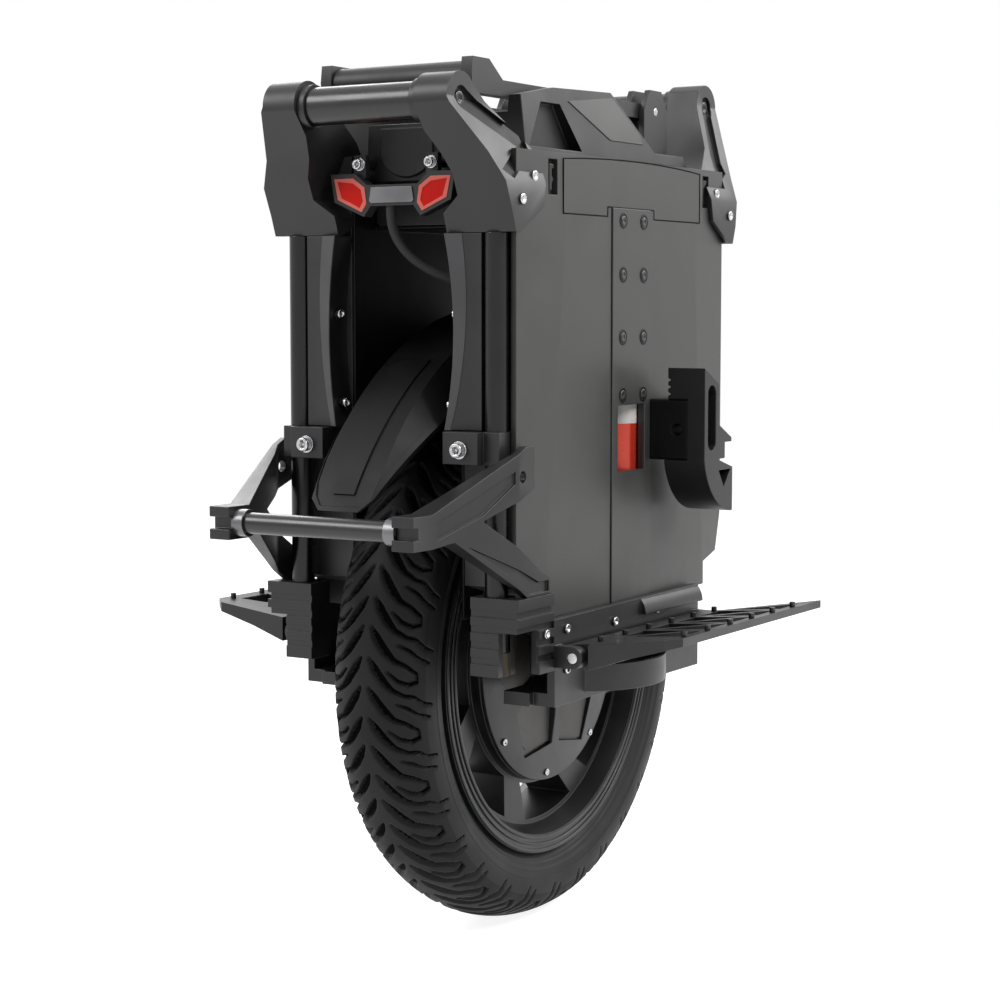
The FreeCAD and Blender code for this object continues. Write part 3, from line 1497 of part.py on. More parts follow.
def make_pillars():
    """Corner pillars with hollowed inner edges and a raised lip, stanchions and their clamps."""
    top = d.arm_foot_z - d.seat_gap
    bow = (top - d.pillar_bottom) / 2
    bend = (bow * bow + d.pillar_bow * d.pillar_bow) / (2 * d.pillar_bow)
    face = [
        (-d.pillar_inner, d.pillar_bottom, -bend),
        (-d.pillar_inner, top),
        (-d.pillar_outer, top),
        (-d.pillar_outer, d.pillar_bottom),
    ]
    deep = d.pillar_back - d.case_end - d.seat_gap
    seat = d.case_end + d.seat_gap
    upright = prism("pillar_face", "YZ_Plane", [face], -d.pillar_back - d.pillar_lip, deep + d.pillar_lip)
    plan = [
        (-d.pillar_back - d.pillar_lip, -d.pillar_inner),
        (-seat, -d.pillar_inner),
        (-seat, -d.pillar_outer),
        (-d.pillar_back, -d.pillar_outer),
        (-d.pillar_back, -d.pillar_inner - d.pillar_lip_width),
    ]
    spread = prism("pillar_plan", "XY_Plane", [plan], d.pillar_bottom, top - d.pillar_bottom)
    keep_both(boolean("Common", "rear_pillar", upright, spread), "rear_pillars")
    inner = d.front_stanchion_y + d.bush_radius + d.seat_gap
    slab = rectangle(-d.skin_inner + d.seat_gap, d.clamp_top, -inner, top)
    keep_both(prism("front_pillar", "YZ_Plane", [slab], d.case_end + d.seat_gap, deep), "front_pillars")

    rear_clamp = [
        (-seat, -d.clamp_inner),
        (-seat, -d.clamp_outer),
        (-d.clamp_back, -d.clamp_outer),
        (-d.clamp_back, -d.lug_outer),
        (-d.lug_back, -d.lug_outer),
        (-d.lug_back, -d.clamp_inner),
    ]
    front_clamp = rectangle(seat, -d.front_slider_outer, d.clamp_back, -d.front_slider_inner)
    places = (
        ("rear", d.rear_stanchion_x, d.rear_stanchion_y, d.slider_bottom, rear_clamp),
        ("front", d.front_stanchion_x, d.front_stanchion_y, d.beam_bottom, front_clamp),
    )
    height = d.clamp_top - d.clamp_bottom
    rods = []
    clamps = []
    for end, x, y, slider_low, plan in places:
        rod = Circle(x, -y, d.stanchion_radius)
        low = slider_low + d.stanchion_inset
        rods.append(prism(f"{end}_stanchion", "XY_Plane", [rod], low, d.arm_foot_z - low))
        clamps.append(prism(f"{end}_clamp", "XY_Plane", [plan, rod], d.clamp_bottom, height))
    for label, shapes in (("stanchions", rods), ("stanchion_clamps", clamps)):
        group(label, shapes + [mirror(shape, f"{label}_left") for shape in shapes])


def lens_outline(inset):
    """Returns the outline of the right-hand tail lens, drawn in by an inset."""
    return [
        (-d.lamp_half + inset, d.lamp_top - inset),
        (-d.lamp_corner_y + inset, d.lamp_corner_z + inset / 2),
        (-d.lamp_bottom_y - inset / 2, d.lamp_bottom + inset),
        (-d.lamp_inner_y - inset, d.lamp_inner_z + inset / 2),
        (-d.lamp_inner_y - d.lens_border - inset / 2, d.lamp_bar_top - inset / 2),
        (-d.lamp_shoulder_y - inset / 2, d.lamp_top - inset),
    ]


def make_lamps():
    """Tail lamp with two angular lenses on a bar, the rear box behind it, its cable, and the headlight."""
    body = new_body("tail_lamp_housing")
    bar_half = d.lamp_inner_y + d.lens_border
    bar = rectangle(-bar_half, d.lamp_inner_z, bar_half, d.lamp_bar_top)
    pad(body, "YZ_Plane", [bar], d.lamp_x, d.lamp_depth)
    bezel = lens_outline(Size.of(0))
    recess = lens_outline(d.lens_border)
    tab_end = d.lamp_tab_y + d.lamp_tab_half
    tab_start = d.lamp_tab_y - d.lamp_tab_half
    tab = rectangle(-tab_end, d.lamp_top - d.lens_border, -tab_start, d.lamp_tab_top)
    flip = [[(-point[0], point[1]) for point in outline] for outline in (bezel, recess, tab)]
    for shape, ear in ((bezel, tab), (flip[0], flip[2])):
        pad(body, "YZ_Plane", [shape], d.lamp_x, d.lamp_depth)
        pad(body, "YZ_Plane", [ear], d.lamp_x + d.lamp_depth / 2, d.lamp_depth / 2)
    for side in (1, -1):
        post = Circle(side * d.lamp_tab_y, d.lamp_post_z, d.lamp_post_radius)
        pad(body, "YZ_Plane", [post], d.lamp_x + d.lamp_depth, d.box_back - d.lamp_x - d.lamp_depth)
    for hollow in (recess, flip[1]):
        pocket(body, "YZ_Plane", [hollow], d.lamp_x, d.lens_depth)
    keep(body, "tail_lamp_housing")
    lenses = [prism("tail_lens", "YZ_Plane", [shape], d.lamp_x, d.lens_depth) for shape in (recess, flip[1])]
    group("tail_lamp_lenses", lenses)

    box = new_body("rear_box")
    shell = rectangle(-d.box_half, d.box_bottom, d.box_half, d.box_top)
    pad(box, "YZ_Plane", [shell], d.box_back, -d.controller_half_length - d.box_back)
    boss = [
        (-d.box_boss_half, d.box_top - d.lens_border),
        (-d.box_boss_half, d.box_top - d.box_boss_drop, d.box_boss_bend),
        (d.box_boss_half, d.box_top - d.box_boss_drop),
        (d.box_boss_half, d.box_top - d.lens_border),
    ]
    pad(box, "YZ_Plane", [boss], d.box_back - d.box_boss_depth, d.box_boss_depth)
    keep(box, "rear_box")

    half = d.headlight_half
    frame = rectangle(-half, d.headlight_bottom, half, d.headlight_top)
    inset = d.headlight_frame
    glass = rectangle(-half + inset, d.headlight_bottom + inset, half - inset, d.headlight_top - inset)
    lamp = new_body("headlight_housing")
    pad(lamp, "YZ_Plane", [frame], d.controller_half_length, d.headlight_front - d.controller_half_length)
    pocket(lamp, "YZ_Plane", [glass], d.headlight_front - d.headlight_lens, d.headlight_lens)
    keep(lamp, "headlight_housing")
    keep(
        prism("headlight_lens", "YZ_Plane", [glass], d.headlight_front - d.headlight_lens, d.headlight_lens),
        "headlight_lens",
    )


def tube_along(points, radius):
    """Returns a round tube along straight runs joined by arcs as large as the runs allow."""
    edges = []
    start = points[0]
    for before, corner, after in zip(points, points[1:], points[2:]):
        inward = (before - corner).normalize()
        outward = (after - corner).normalize()
        reach = BEND_SHARE * min((before - corner).Length, (after - corner).Length)
        middle_way = (inward + outward).normalize()
        half_angle = inward.getAngle(middle_way)
        first = corner + inward * reach
        last = corner + outward * reach
        centre = corner + middle_way * (reach / math.cos(half_angle))
        bend = (first - centre).Length
        print(f"cable bend radius {bend:.1f}")
        edges.append(Part.LineSegment(start, first).toShape())
        edges.append(Part.Arc(first, centre - middle_way * bend, last).toShape())
        start = last
    edges.append(Part.LineSegment(start, points[-1]).toShape())
    path = Part.Wire(edges)
    ring = Part.Wire(Part.Circle(points[0], points[1] - points[0], radius).toShape())
    return path.makePipeShell([ring], True, False)


def make_cable():
    """Tail lamp cable: hangs from the lamp's bar, swings to the right and enters the arch's side wall."""
    low = d.lamp_inner_z.value
    middle = d.lamp_x.value + d.lamp_depth.value / 2
    wall = d.arch_inner.value
    route = [
        Vector(middle, 5, low),
        Vector(middle, 5, low - 13),
        Vector(middle + 4, 2, low - 28),
        Vector(middle + 10, -8, low - 43),
        Vector(middle + 18, -22, low - 54),
        Vector(middle + 28, -39, low - 63),
        Vector(middle + 37, 1 - wall, low - 68),
        Vector(middle + 46, -wall - 15, low - 73),
    ]
    tube = tube_along(route, d.cable_radius.value)
    side = 4 * d.cable_radius.value
    corner = route[-1] - Vector(2 * side, side, 2 * side)
    depth = -wall - corner.y
    cable = document.addObject("Part::Feature", "tail_lamp_cable")
    cable.Shape = tube.cut(Part.makeBox(4 * side, depth, 4 * side, corner))
    keep(cable, "tail_lamp_cable")


def make_top():
    """Top cover with side humps and grip recesses, the trolley handle, its brackets and the power button."""
    ridge = d.hump_top
    side = [
        (d.cover_rear, d.case_top),
        (d.cover_front, d.case_top),
        (d.cover_step_front, d.cover_step_z),
        (d.cover_step_rear, d.cover_step_z),
        (d.cover_ridge_front, ridge),
        (d.cover_ridge_rear, ridge - d.cover_edge),
        (d.cover_rear, d.cover_rear_top),
    ]
    profile = prism("top_side", "XZ_Plane", [side], -d.hump_base, 2 * d.hump_base)
    half = [
        (d.deck_half, d.deck_z),
        (d.hump_inner, ridge),
        (d.hump_outer, ridge),
        (d.hump_base, d.case_top),
    ]
    back = [(-u, v) for u, v in reversed(half)] + half
    across = prism("top_across", "YZ_Plane", [back], d.cover_rear, d.cover_front - d.cover_rear)
    cover = boolean("Common", "top_common", profile, across)
    recess = [
        (d.grip_recess_rear, d.grip_recess_bottom),
        (d.grip_recess_front, d.grip_recess_bottom),
        (d.grip_recess_front - d.grip_recess_slope, d.grip_recess_top),
        (d.grip_recess_rear + d.grip_recess_lean, d.grip_recess_top),
    ]
    depth = d.grip_recess_depth
    hollow = prism("grip_recess", "XZ_Plane", [recess], d.hump_base - depth, depth)
    cover = boolean("Cut", "top_right_recess", cover, hollow)
    cover = boolean("Cut", "top_left_recess", cover, mirror(hollow, "grip_recess_left"))
    well = Circle(d.button_x, 0, d.button_radius + d.running_gap)
    floor = prism("button_well", "XY_Plane", [well], d.deck_z - d.button_depth, d.button_depth)
    keep(boolean("Cut", "top_cover", cover, floor), "top_cover")
    knob = Circle(d.button_x, 0, d.button_radius)
    button_low = d.deck_z + d.button_rise - d.button_height
    keep(prism("power_button", "XY_Plane", [knob], button_low, d.button_height), "power_button")

    eye_x = d.trolley_hinge_x
    eye_z = d.trolley_hinge_z
    width = d.trolley_outer - d.trolley_inner
    arm = [
        (d.trolley_grip_x + d.trolley_grip_radius, d.trolley_grip_z - d.trolley_boss_radius),
        (d.trolley_bend_x, d.trolley_bottom),
        (eye_x, d.trolley_bottom),
        (eye_x + d.trolley_eye, eye_z - d.trolley_pin),
        (eye_x + d.trolley_eye, eye_z + d.trolley_pin),
        (eye_x, d.trolley_top),
        (d.trolley_bend_x, d.trolley_top),
        (d.trolley_grip_x + d.trolley_grip_radius, d.trolley_grip_z + d.trolley_boss_radius),
        (d.trolley_grip_x - d.trolley_grip_radius, d.trolley_grip_z + d.trolley_boss_radius),
        (d.trolley_grip_x - d.trolley_boss_radius, d.trolley_grip_z),
        (d.trolley_grip_x - d.trolley_grip_radius, d.trolley_grip_z - d.trolley_boss_radius),
    ]
    hole = Circle(eye_x, eye_z, d.trolley_pin + d.running_gap)
    keep_both(prism("trolley_arm", "XZ_Plane", [arm, hole], d.trolley_inner, width), "trolley_arms")
    grip = Circle(d.trolley_grip_x, d.trolley_grip_z, d.trolley_grip_radius)
    keep(prism("trolley_grip", "XZ_Plane", [grip], -d.trolley_inner, 2 * d.trolley_inner), "trolley_grip")

    tower = [
        (d.bracket_rear, d.cover_step_z),
        (d.bracket_front, d.cover_step_z),
        (d.bracket_front, eye_z),
        (d.bracket_front - d.bracket_lean, d.bracket_top),
        (d.bracket_rear + d.bracket_lean, d.bracket_top),
        (d.bracket_rear, eye_z),
    ]
    pivot = Circle(eye_x, eye_z, d.trolley_pin)
    inner = d.trolley_inner - d.seat_gap - d.bracket_wall
    plates = [
        prism("bracket_inner", "XZ_Plane", [tower, pivot], inner, d.bracket_wall),
        prism("bracket_outer", "XZ_Plane", [tower, pivot], d.trolley_outer + d.seat_gap, d.bracket_wall),
    ]
    group("trolley_brackets", plates + [mirror(plate, "bracket_left") for plate in plates])
    span = width + 2 * (d.seat_gap + d.bracket_wall)
    pin = prism("trolley_pin", "XZ_Plane", [pivot], inner, span)
    keep_both(pin, "trolley_pins")


def make_side_pads():
    """Side pads: a block on the skin, and a hooked face with a slot, a hole, a tab and a toothed shelf."""
    seat = d.skin_crown
    block = new_body("side_pad_bracket")
    outline = rectangle(d.pad_rear, d.pad_block_bottom, d.pad_block_front, d.pad_block_top)
    pad(block, "XZ_Plane", [outline], seat, d.pad_block_outer - seat)
    middle = (d.pad_block_bottom + d.pad_block_top) / 2
    hole = Circle(-d.pad_hole_y, middle, d.pad_hole_radius)
    pocket(block, "YZ_Plane", [hole], d.pad_rear, d.pad_block_front - d.pad_rear)
    round_edges(block, d.pad_round, along(1))
    keep_both(block, "side_pad_brackets")

    face = new_body("side_pad")
    thick = d.pad_outer - d.pad_block_outer
    column = [
        (d.pad_rear, d.pad_block_bottom),
        (d.pad_column_front, d.pad_block_bottom),
        (d.pad_column_front, d.pad_top - d.pad_top_slope),
        (d.pad_rear, d.pad_top),
    ]
    shelf = d.pad_block_outer - d.pad_shelf_inner
    pad(face, "XZ_Plane", [column], d.pad_block_outer, thick)
    ledge = [
        (d.pad_rear, d.pad_block_top),
        (d.pad_column_front, d.pad_block_top),
        (d.pad_column_front, d.pad_top - d.pad_top_slope),
        (d.pad_rear, d.pad_top),
    ]
    pad(face, "XZ_Plane", [ledge], d.pad_shelf_inner, shelf)
    hook_top = d.pad_block_bottom - d.pad_hook_drop
    hook = [
        (d.pad_rear, d.pad_block_bottom, d.pad_hook_bend),
        (d.pad_front - d.pad_lip, d.pad_bottom),
        (d.pad_front, d.pad_bottom),
        (d.pad_front, hook_top),
        (d.pad_column_front, d.pad_block_bottom),
    ]
    pad(face, "XZ_Plane", [hook], d.pad_hook_inner, d.pad_outer - d.pad_hook_inner)
    tab = [
        (d.pad_column_front, d.pad_tab_top),
        (d.pad_column_front, d.pad_block_bottom),
        (d.pad_tab_neck, d.pad_block_bottom),
        (d.pad_tab_neck, d.pad_tab_low),
        (d.pad_tab_front, d.pad_tab_low),
        (d.pad_tab_front, d.pad_tab_low + d.pad_lip),
    ]
    pad(face, "XZ_Plane", [tab], d.pad_block_outer, thick - d.pad_lip)
    slot_x = (d.pad_rear + d.pad_column_front) / 2
    half = d.pad_slot_half
    slot = [
        (slot_x - half, d.pad_slot_bottom + half, half * ROUND_END),
        (slot_x + half, d.pad_slot_bottom + half),
        (slot_x + half, d.pad_slot_top - half, half * ROUND_END),
        (slot_x - half, d.pad_slot_top - half),
    ]
    pocket(face, "XZ_Plane", [slot], d.pad_block_outer + d.pad_lip, thick - d.pad_lip)
    gap = d.pad_lip
    eye = [
        (d.pad_column_front, hook_top - gap / 2),
        (d.pad_front - d.pad_lip, hook_top - gap / 2),
        (d.pad_eye_x, d.pad_eye_bottom),
    ]
    pocket(face, "XZ_Plane", [eye], d.pad_hook_inner, d.pad_outer - d.pad_hook_inner)
    for tooth in range(int(SIZES["pad_teeth"])):
        low = d.pad_block_top + d.pad_tooth * (2 * tooth + 1)
        edge = -d.pad_shelf_inner
        groove = [(edge, low), (edge, low + d.pad_tooth), (edge - d.pad_tooth, low + d.pad_tooth / 2)]
        pocket(face, "YZ_Plane", [groove], d.pad_rear, d.pad_column_front - d.pad_rear)
    keep_both(face, "side_pads")


make_tyre()
make_rim()
make_hub_motor()
make_axle()
make_hanger()
make_pedal()
make_sliders()
make_bumper()
make_shocks()
make_case()
make_arch()
make_handles()
make_pillars()
make_lamps()
make_cable()
make_top()
make_side_pads()
document.recompute()

for item in document.Objects:
    if any(word in ("Invalid", "Error") for word in item.State):
        raise RuntimeError(f"{item.Label} failed: {item.State}")
for piece in pieces:
    if piece.Shape.isNull() or not piece.Shape.isValid() or not piece.Shape.Solids:
        raise RuntimeError(f"{piece.Label} has no valid solid")

os.makedirs("parts", exist_ok=True)
for piece in pieces:
    piece.Shape.exportStep(os.path.join("parts", f"{piece.Label}.step"))
print(f"{len(pieces)} sub-parts written")
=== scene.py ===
"""Electric unicycle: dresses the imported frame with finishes, tread, screws, lamps and cable."""
import json
import logging
import math
from collections.abc import Sequence
from dataclasses import dataclass, field
from enum import Enum
from itertools import product

import bpy
import numpy as np
from bpy.types import ID, Material, Node, NodeSocket, NodeTree, Object
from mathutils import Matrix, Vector


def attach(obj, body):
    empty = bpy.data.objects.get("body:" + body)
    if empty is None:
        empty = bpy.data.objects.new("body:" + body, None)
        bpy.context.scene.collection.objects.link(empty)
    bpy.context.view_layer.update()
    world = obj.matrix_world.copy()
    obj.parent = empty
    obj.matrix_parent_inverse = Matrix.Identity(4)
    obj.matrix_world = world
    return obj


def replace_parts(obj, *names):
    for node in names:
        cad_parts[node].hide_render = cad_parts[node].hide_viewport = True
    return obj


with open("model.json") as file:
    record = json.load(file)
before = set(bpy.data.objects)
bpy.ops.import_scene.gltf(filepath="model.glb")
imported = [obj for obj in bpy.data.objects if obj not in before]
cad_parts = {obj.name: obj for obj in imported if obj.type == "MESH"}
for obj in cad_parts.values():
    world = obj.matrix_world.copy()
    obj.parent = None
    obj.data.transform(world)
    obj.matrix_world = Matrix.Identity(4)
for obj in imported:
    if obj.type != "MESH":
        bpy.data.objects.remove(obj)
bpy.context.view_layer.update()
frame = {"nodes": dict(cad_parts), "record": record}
LOG = logging.getLogger("unicycle")
# Sizes are in millimetres in the shared frame, apart from the stage's.
MM = 0.001
AXLE_Z = 250.0
# How far the root of a small piece lies inside what carries it, so that no gap shows.
SINK = 0.4
EDGE_SEGMENTS = 2
PIECE_CORNER_DEG = 35.0

Place = tuple[float, float, float]
Places = Sequence[Place]
Pair = tuple[float, float]
Outline = Sequence[Pair]


class Body(Enum):
    """The bodies of the frame that a drawn piece rides on."""

    CHASSIS = "chassis"
    CARRIAGE = "carriage"
    WHEEL = "wheel"


class Side(Enum):
    """The two sides of the machine, with the sign of Y on each."""

    RIGHT = -1
    LEFT = 1

    def at(self, x: float, y: float, z: float) -> Place:
        """Returns a place or direction on this side, given for the left side."""
        return x, self.value * y, z


class End(Enum):
    """The two ends of the machine, with the sign of X on each."""

    REAR = -1
    FRONT = 1


class Head(Enum):
    """The heads of the socket screws: radius and height."""

    STRIP = (4.6, 1.0)
    TUBE = (6.5, 2.6)
    ARM = (4.6, 2.4)
    PILLAR = (4.6, 6.0)
    LUG = (6.2, 6.0)
    LAMP = (4.5, 5.0)
    PLATE = (4.2, 2.6)
    COVER = (3.4, 1.8)


class Close(Enum):
    """How a run of rings ends: with two faces, joined into a loop, or open with a crisp edge."""

    ENDS = "ends"
    LOOP = "loop"
    OPEN = "open"


def linear(code: str) -> tuple[float, float, float, float]:
    """Turns an sRGB hex colour into linear red, green, blue and alpha.

    Args:
        code: Six hex digits after a hash.

    Returns:
        The linear colour with an alpha of 1.
    """
    channels = []
    for i in (1, 3, 5):
        c = int(code[i:i + 2], 16) / 255
        channels.append(c / 12.92 if c <= 0.04045 else ((c + 0.055) / 1.055) ** 2.4)
    return *channels, 1.0


def add_node(tree: NodeTree, kind: str, links: dict | None = None, **settings: object) -> Node:
    """Adds a node to a tree.

    Args:
        tree: The node tree.
        kind: The node's type name.
        links: Input names with the socket that feeds each, or with a plain value.
        settings: Attributes of the node.

    Returns:
        The new node.
    """
    node = tree.nodes.new(kind)
    for name, value in settings.items():
        setattr(node, name, value)
    for name, value in (links or {}).items():
        socket = node.inputs[name]
        if isinstance(value, NodeSocket):
            tree.links.new(value, socket)
        else:
            socket.default_value = value
    return node


# What the noise of every finish shares: its octaves, and the span of it that is used.
GRAIN_DETAIL = 3.0
MOTTLE_DETAIL = 5.0
GLOSS_SPAN = (0.3, 0.7)
TINT_SPAN = (0.35, 0.65)


@dataclass(frozen=True)
class Finish:
    """A surface: what it is made of, its two close colours, its gloss and its grain.

    The grain sizes are in millimetres on the object. A grain finer than the picture's pixels is
    drawn coarser, so that it still breaks the highlight.
    """

    name: str
    slot: str
    colour: str
    shade: str
    roughness: float
    roughness_spread: float = 0.06
    metallic: float = 0.0
    specular: float = 0.5
    coat: float = 0.0
    transmission: float = 0.0
    grain_mm: float = 1.2
    relief_mm: float = 0.02
    mottle_mm: float = 40.0

    def material(self) -> Material:
        """Returns this finish as a material, made once."""
        found = bpy.data.materials.get(self.name)
        if found:
            return found
        made = bpy.data.materials.new(self.name)
        made.use_nodes = True
        tree = made.node_tree
        shader = tree.nodes["Principled BSDF"]
        place = add_node(tree, "ShaderNodeTexCoord").outputs["Object"]
        grain, mottle = (
            add_node(
                tree, "ShaderNodeTexNoise",
                {"Vector": place, "Scale": 1 / (size * MM), "Detail": detail},
            ).outputs["Fac"]
            for size, detail in ((self.grain_mm, GRAIN_DETAIL), (self.mottle_mm, MOTTLE_DETAIL))
        )
        low, high = GLOSS_SPAN
        spread = self.roughness_spread
        levels = {"Value": mottle, "From Min": low, "From Max": high}
        levels |= {"To Min": self.roughness - spread, "To Max": self.roughness + spread}
        gloss = add_node(tree, "ShaderNodeMapRange", levels)
        relief = {"Height": grain, "Distance": self.relief_mm * MM, "Strength": 1.0}
        bump = add_node(tree, "ShaderNodeBump", relief)
        tree.links.new(self.tint(tree, mottle), shader.inputs["Base Color"])
        tree.links.new(gloss.outputs["Result"], shader.inputs["Roughness"])
        tree.links.new(bump.outputs["Normal"], shader.inputs["Normal"])
        shader.inputs["Metallic"].default_value = self.metallic
        shader.inputs["Specular IOR Level"].default_value = self.specular
        shader.inputs["Coat Weight"].default_value = self.coat
        shader.inputs["Transmission Weight"].default_value = self.transmission
        return made

    def tint(self, tree: NodeTree, mottle: NodeSocket) -> NodeSocket:
        """Adds the ramp from the shade to the main colour.

        Args:
            tree: The material's node tree.
            mottle: The noise that drives the ramp.

        Returns:
            The ramp's colour.
        """
        ramp = add_node(tree, "ShaderNodeValToRGB", {"Fac": mottle})
        codes = (self.shade, self.colour)
        for stop, position, code in zip(ramp.color_ramp.elements, TINT_SPAN, codes):
            stop.position = position
            stop.color = linear(code)
        return ramp.outputs["Color"]

    def dress(self, thing: Object) -> None:
        """Makes this finish the only material of a piece or node."""
        thing.data.materials.clear()
        thing.data.materials.append(self.material())


# Moulded rubber: dull and dark, with a fine grey bloom that shows in the highlight. The bloom's
# grain is drawn coarser than its real 0.2 mm.
TYRE_RUBBER = Finish(
    "vulcanised_rubber", "tyre_rubber", "#1e1e20", "#171719", 0.55, 0.08, specular=0.24,
    grain_mm=1.6, relief_mm=0.05,
)
# Painted shade on the tread: the same rubber drawn blacker, and duller than the sides, for the
# tread's face that turns away from the lamps.
TREAD_SHADE_RUBBER = Finish(
    "painted_tread_shade_rubber", "tyre_rubber", "#0f0f10", "#0b0b0c", 0.62, 0.08, specular=0.24, grain_mm=1.6,
    relief_mm=0.05,
)
# Painted shade in the grooves: the same rubber drawn nearly black down in them, where shade falls.
GROOVE_SHADE_RUBBER = Finish(
    "painted_groove_shade_rubber", "tyre_rubber", "#030303", "#020202", 0.85, specular=0.05, grain_mm=1.6,
    relief_mm=0.05,
)
# Powder coat on a casting: satin, with a slight orange peel about 1.4 mm across.
CAST_ALLOY = Finish(
    "powder_coated_casting", "cast_black_alloy", "#1d1d1e", "#171718", 0.4, specular=0.45,
    grain_mm=1.4,
)
# The thicker grey-brown coat on the hub cover's panels.
PANEL_COAT = Finish(
    "textured_powder_coat", "cast_black_alloy", "#4a4743", "#413e3b", 0.5, grain_mm=1.3,
    relief_mm=0.03,
)
# Black anodised aluminium: fine and silky, with a soft bright highlight. Its 0.1 mm blasted grain
# is drawn coarser.
BLACK_ALLOY = Finish(
    "black_anodised_aluminium", "black_alloy", "#1e1e1f", "#19191a", 0.4, specular=0.45,
    grain_mm=1.0, relief_mm=0.012,
)
# The same alloy drawn paler and silkier on the pillars' inner lips.
PALE_LIP_ALLOY = Finish(
    "pale_lip_anodised_aluminium", "black_alloy", "#4e4e50", "#454547", 0.36, grain_mm=1.0,
    relief_mm=0.012,
)
# The same alloy turned and polished before it is anodised: a clear streak of light along each tube.
BLACK_TUBE = Finish(
    "polished_black_tube", "black_alloy", "#141415", "#101011", 0.28, 0.04, specular=0.55,
    grain_mm=0.9, relief_mm=0.006,
)
# Hard black coat on steel: dark and smooth.
BLACK_STEEL = Finish(
    "black_coated_steel", "black_steel", "#0a0a0b", "#070708", 0.28, 0.05, specular=0.4,
    grain_mm=0.9, relief_mm=0.006,
)
# Moulded case skin: an even satin with a fine grain.
CASE_SKIN = Finish(
    "satin_moulded_case", "case_skin", "#353534", "#30302f", 0.42, grain_mm=1.1, relief_mm=0.016,
)
# Moulded plastic with a spark-eroded grain, drawn coarser than its 0.5 mm.
BLACK_PLASTIC = Finish(
    "moulded_abs", "black_plastic", "#1d1d1e", "#171718", 0.46, specular=0.4, grain_mm=1.3,
    relief_mm=0.03,
)
# Soft black moulding for pads, arch and fender: it throws back hardly any light. It also lies on
# the arm grooves' floors as painted shade.
MATT_PLASTIC = Finish(
    "moulded_polypropylene", "black_plastic", "#0a0a0b", "#070708", 0.5, specular=0.2, grain_mm=1.3,
    relief_mm=0.03,
)
# Rubber seal in the joints of the case: a thin black line.
SEAL_RUBBER = Finish("seal_rubber", "cable_rubber", "#050505", "#030303", 0.7, specular=0.1)
# Machined aluminium: mid grey, with a fine cutter grain that softens its highlight.
GREY_ALLOY = Finish(
    "machined_aluminium", "grey_alloy", "#747476", "#666668", 0.36, metallic=1.0, grain_mm=0.8,
    relief_mm=0.01,
)
# Turned and plated steel: bright, with a sharp highlight.
STEEL = Finish(
    "plated_steel", "steel", "#c6c6c8", "#adadaf", 0.24, metallic=1.0, grain_mm=0.9,
    relief_mm=0.006, mottle_mm=6.0,
)
# Blacked steel for socket screws: oily, nearly black.
DARK_SCREW = Finish(
    "blacked_steel", "black_steel", "#111112", "#0c0c0d", 0.32, specular=0.6, mottle_mm=5.0,
)
# Oil-filled sintered bronze: dark brown where it runs in oil.
BRONZE = Finish("sintered_bronze", "bush_bronze", "#3b3023", "#2c241b", 0.45, metallic=0.6)
# Red anodised aluminium: a deep clear red with a bright streak.
RED_ALLOY = Finish(
    "red_anodised_aluminium", "red_anodised", "#d03a22", "#bd321d", 0.26, metallic=0.3, coat=0.3,
)
# Red acrylic: an even, strong red with a soft gloss.
RED_LENS = Finish(
    "red_acrylic", "red_lens", "#e01408", "#d61106", 0.3, 0.03, specular=0.2, relief_mm=0.0,
)
# The moulded light guide round each lens: a paler, milky red.
LENS_RIM = Finish(
    "milky_red_acrylic", "red_lens", "#ee7d70", "#e87265", 0.35, 0.03, specular=0.25, relief_mm=0.0,
)
# Clear polycarbonate: see-through, with a hard gloss.
CLEAR_LENS = Finish(
    "clear_polycarbonate", "clear_lens", "#f4f6f7", "#eef1f2", 0.06, 0.02, coat=0.3,
    transmission=0.95, relief_mm=0.0,
)
# Extruded cable sheath: black and smooth, with a clear line of light along it.
CABLE_RUBBER = Finish("cable_rubber", "cable_rubber", "#0e0e0f", "#0a0a0b", 0.2, specular=0.9)
# Shrunk-on vinyl sleeve of the battery packs: an even blue with a soft gloss.
BATTERY_WRAP = Finish("shrink_wrap", "battery_wrap", "#2f5fa8", "#284f8d", 0.35)
# Blank foil label: matt and pale, with no print on it.
LABEL_FILM = Finish("foil_label", "grey_alloy", "#cfccc8", "#c2bfbb", 0.5, relief_mm=0.0)

SLOT_FINISH: dict[str, Finish] = {
    finish.slot: finish
    for finish in (
        CAST_ALLOY, BLACK_ALLOY, CASE_SKIN, GREY_ALLOY, BLACK_STEEL, STEEL, BRONZE, BLACK_PLASTIC,
        BATTERY_WRAP, RED_ALLOY, RED_LENS, CLEAR_LENS, CABLE_RUBBER, TYRE_RUBBER,
    )
}
# Nodes whose look differs from the rest of their slot.
NODE_FINISH: dict[str, Finish] = {
    "rear_handle_tube": BLACK_TUBE,
    "front_handle_tube": BLACK_TUBE,
    "bumper_bar": BLACK_TUBE,
    "wheel_arch": MATT_PLASTIC,
    "fender": MATT_PLASTIC,
    "side_pad_brackets": MATT_PLASTIC,
    "pedal_studs_right": DARK_SCREW,
    "pedal_studs_left": DARK_SCREW,
}


def add_object(name: str, data: ID) -> Object:
    """Puts a new object into the scene.

    Args:
        name: The object's name.
        data: Its mesh, curve, lamp or camera.

    Returns:
        The new object.
    """
    made = bpy.data.objects.new(name, data)
    bpy.context.scene.collection.objects.link(made)
    return made


def new_piece(name: str, mesh: ID, body: Body, finish: Finish) -> Object:
    """Puts a mesh or curve into the scene as a piece that rides on a body.

    Args:
        name: The piece's name.
        mesh: Its mesh or curve, in metres in the shared frame.
        body: The body that it moves with.
        finish: Its finish.

    Returns:
        The new object.
    """
    piece = add_object(name, mesh)
    finish.dress(piece)
    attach(piece, body.value)
    LOG.info("made %s", name)
    return piece


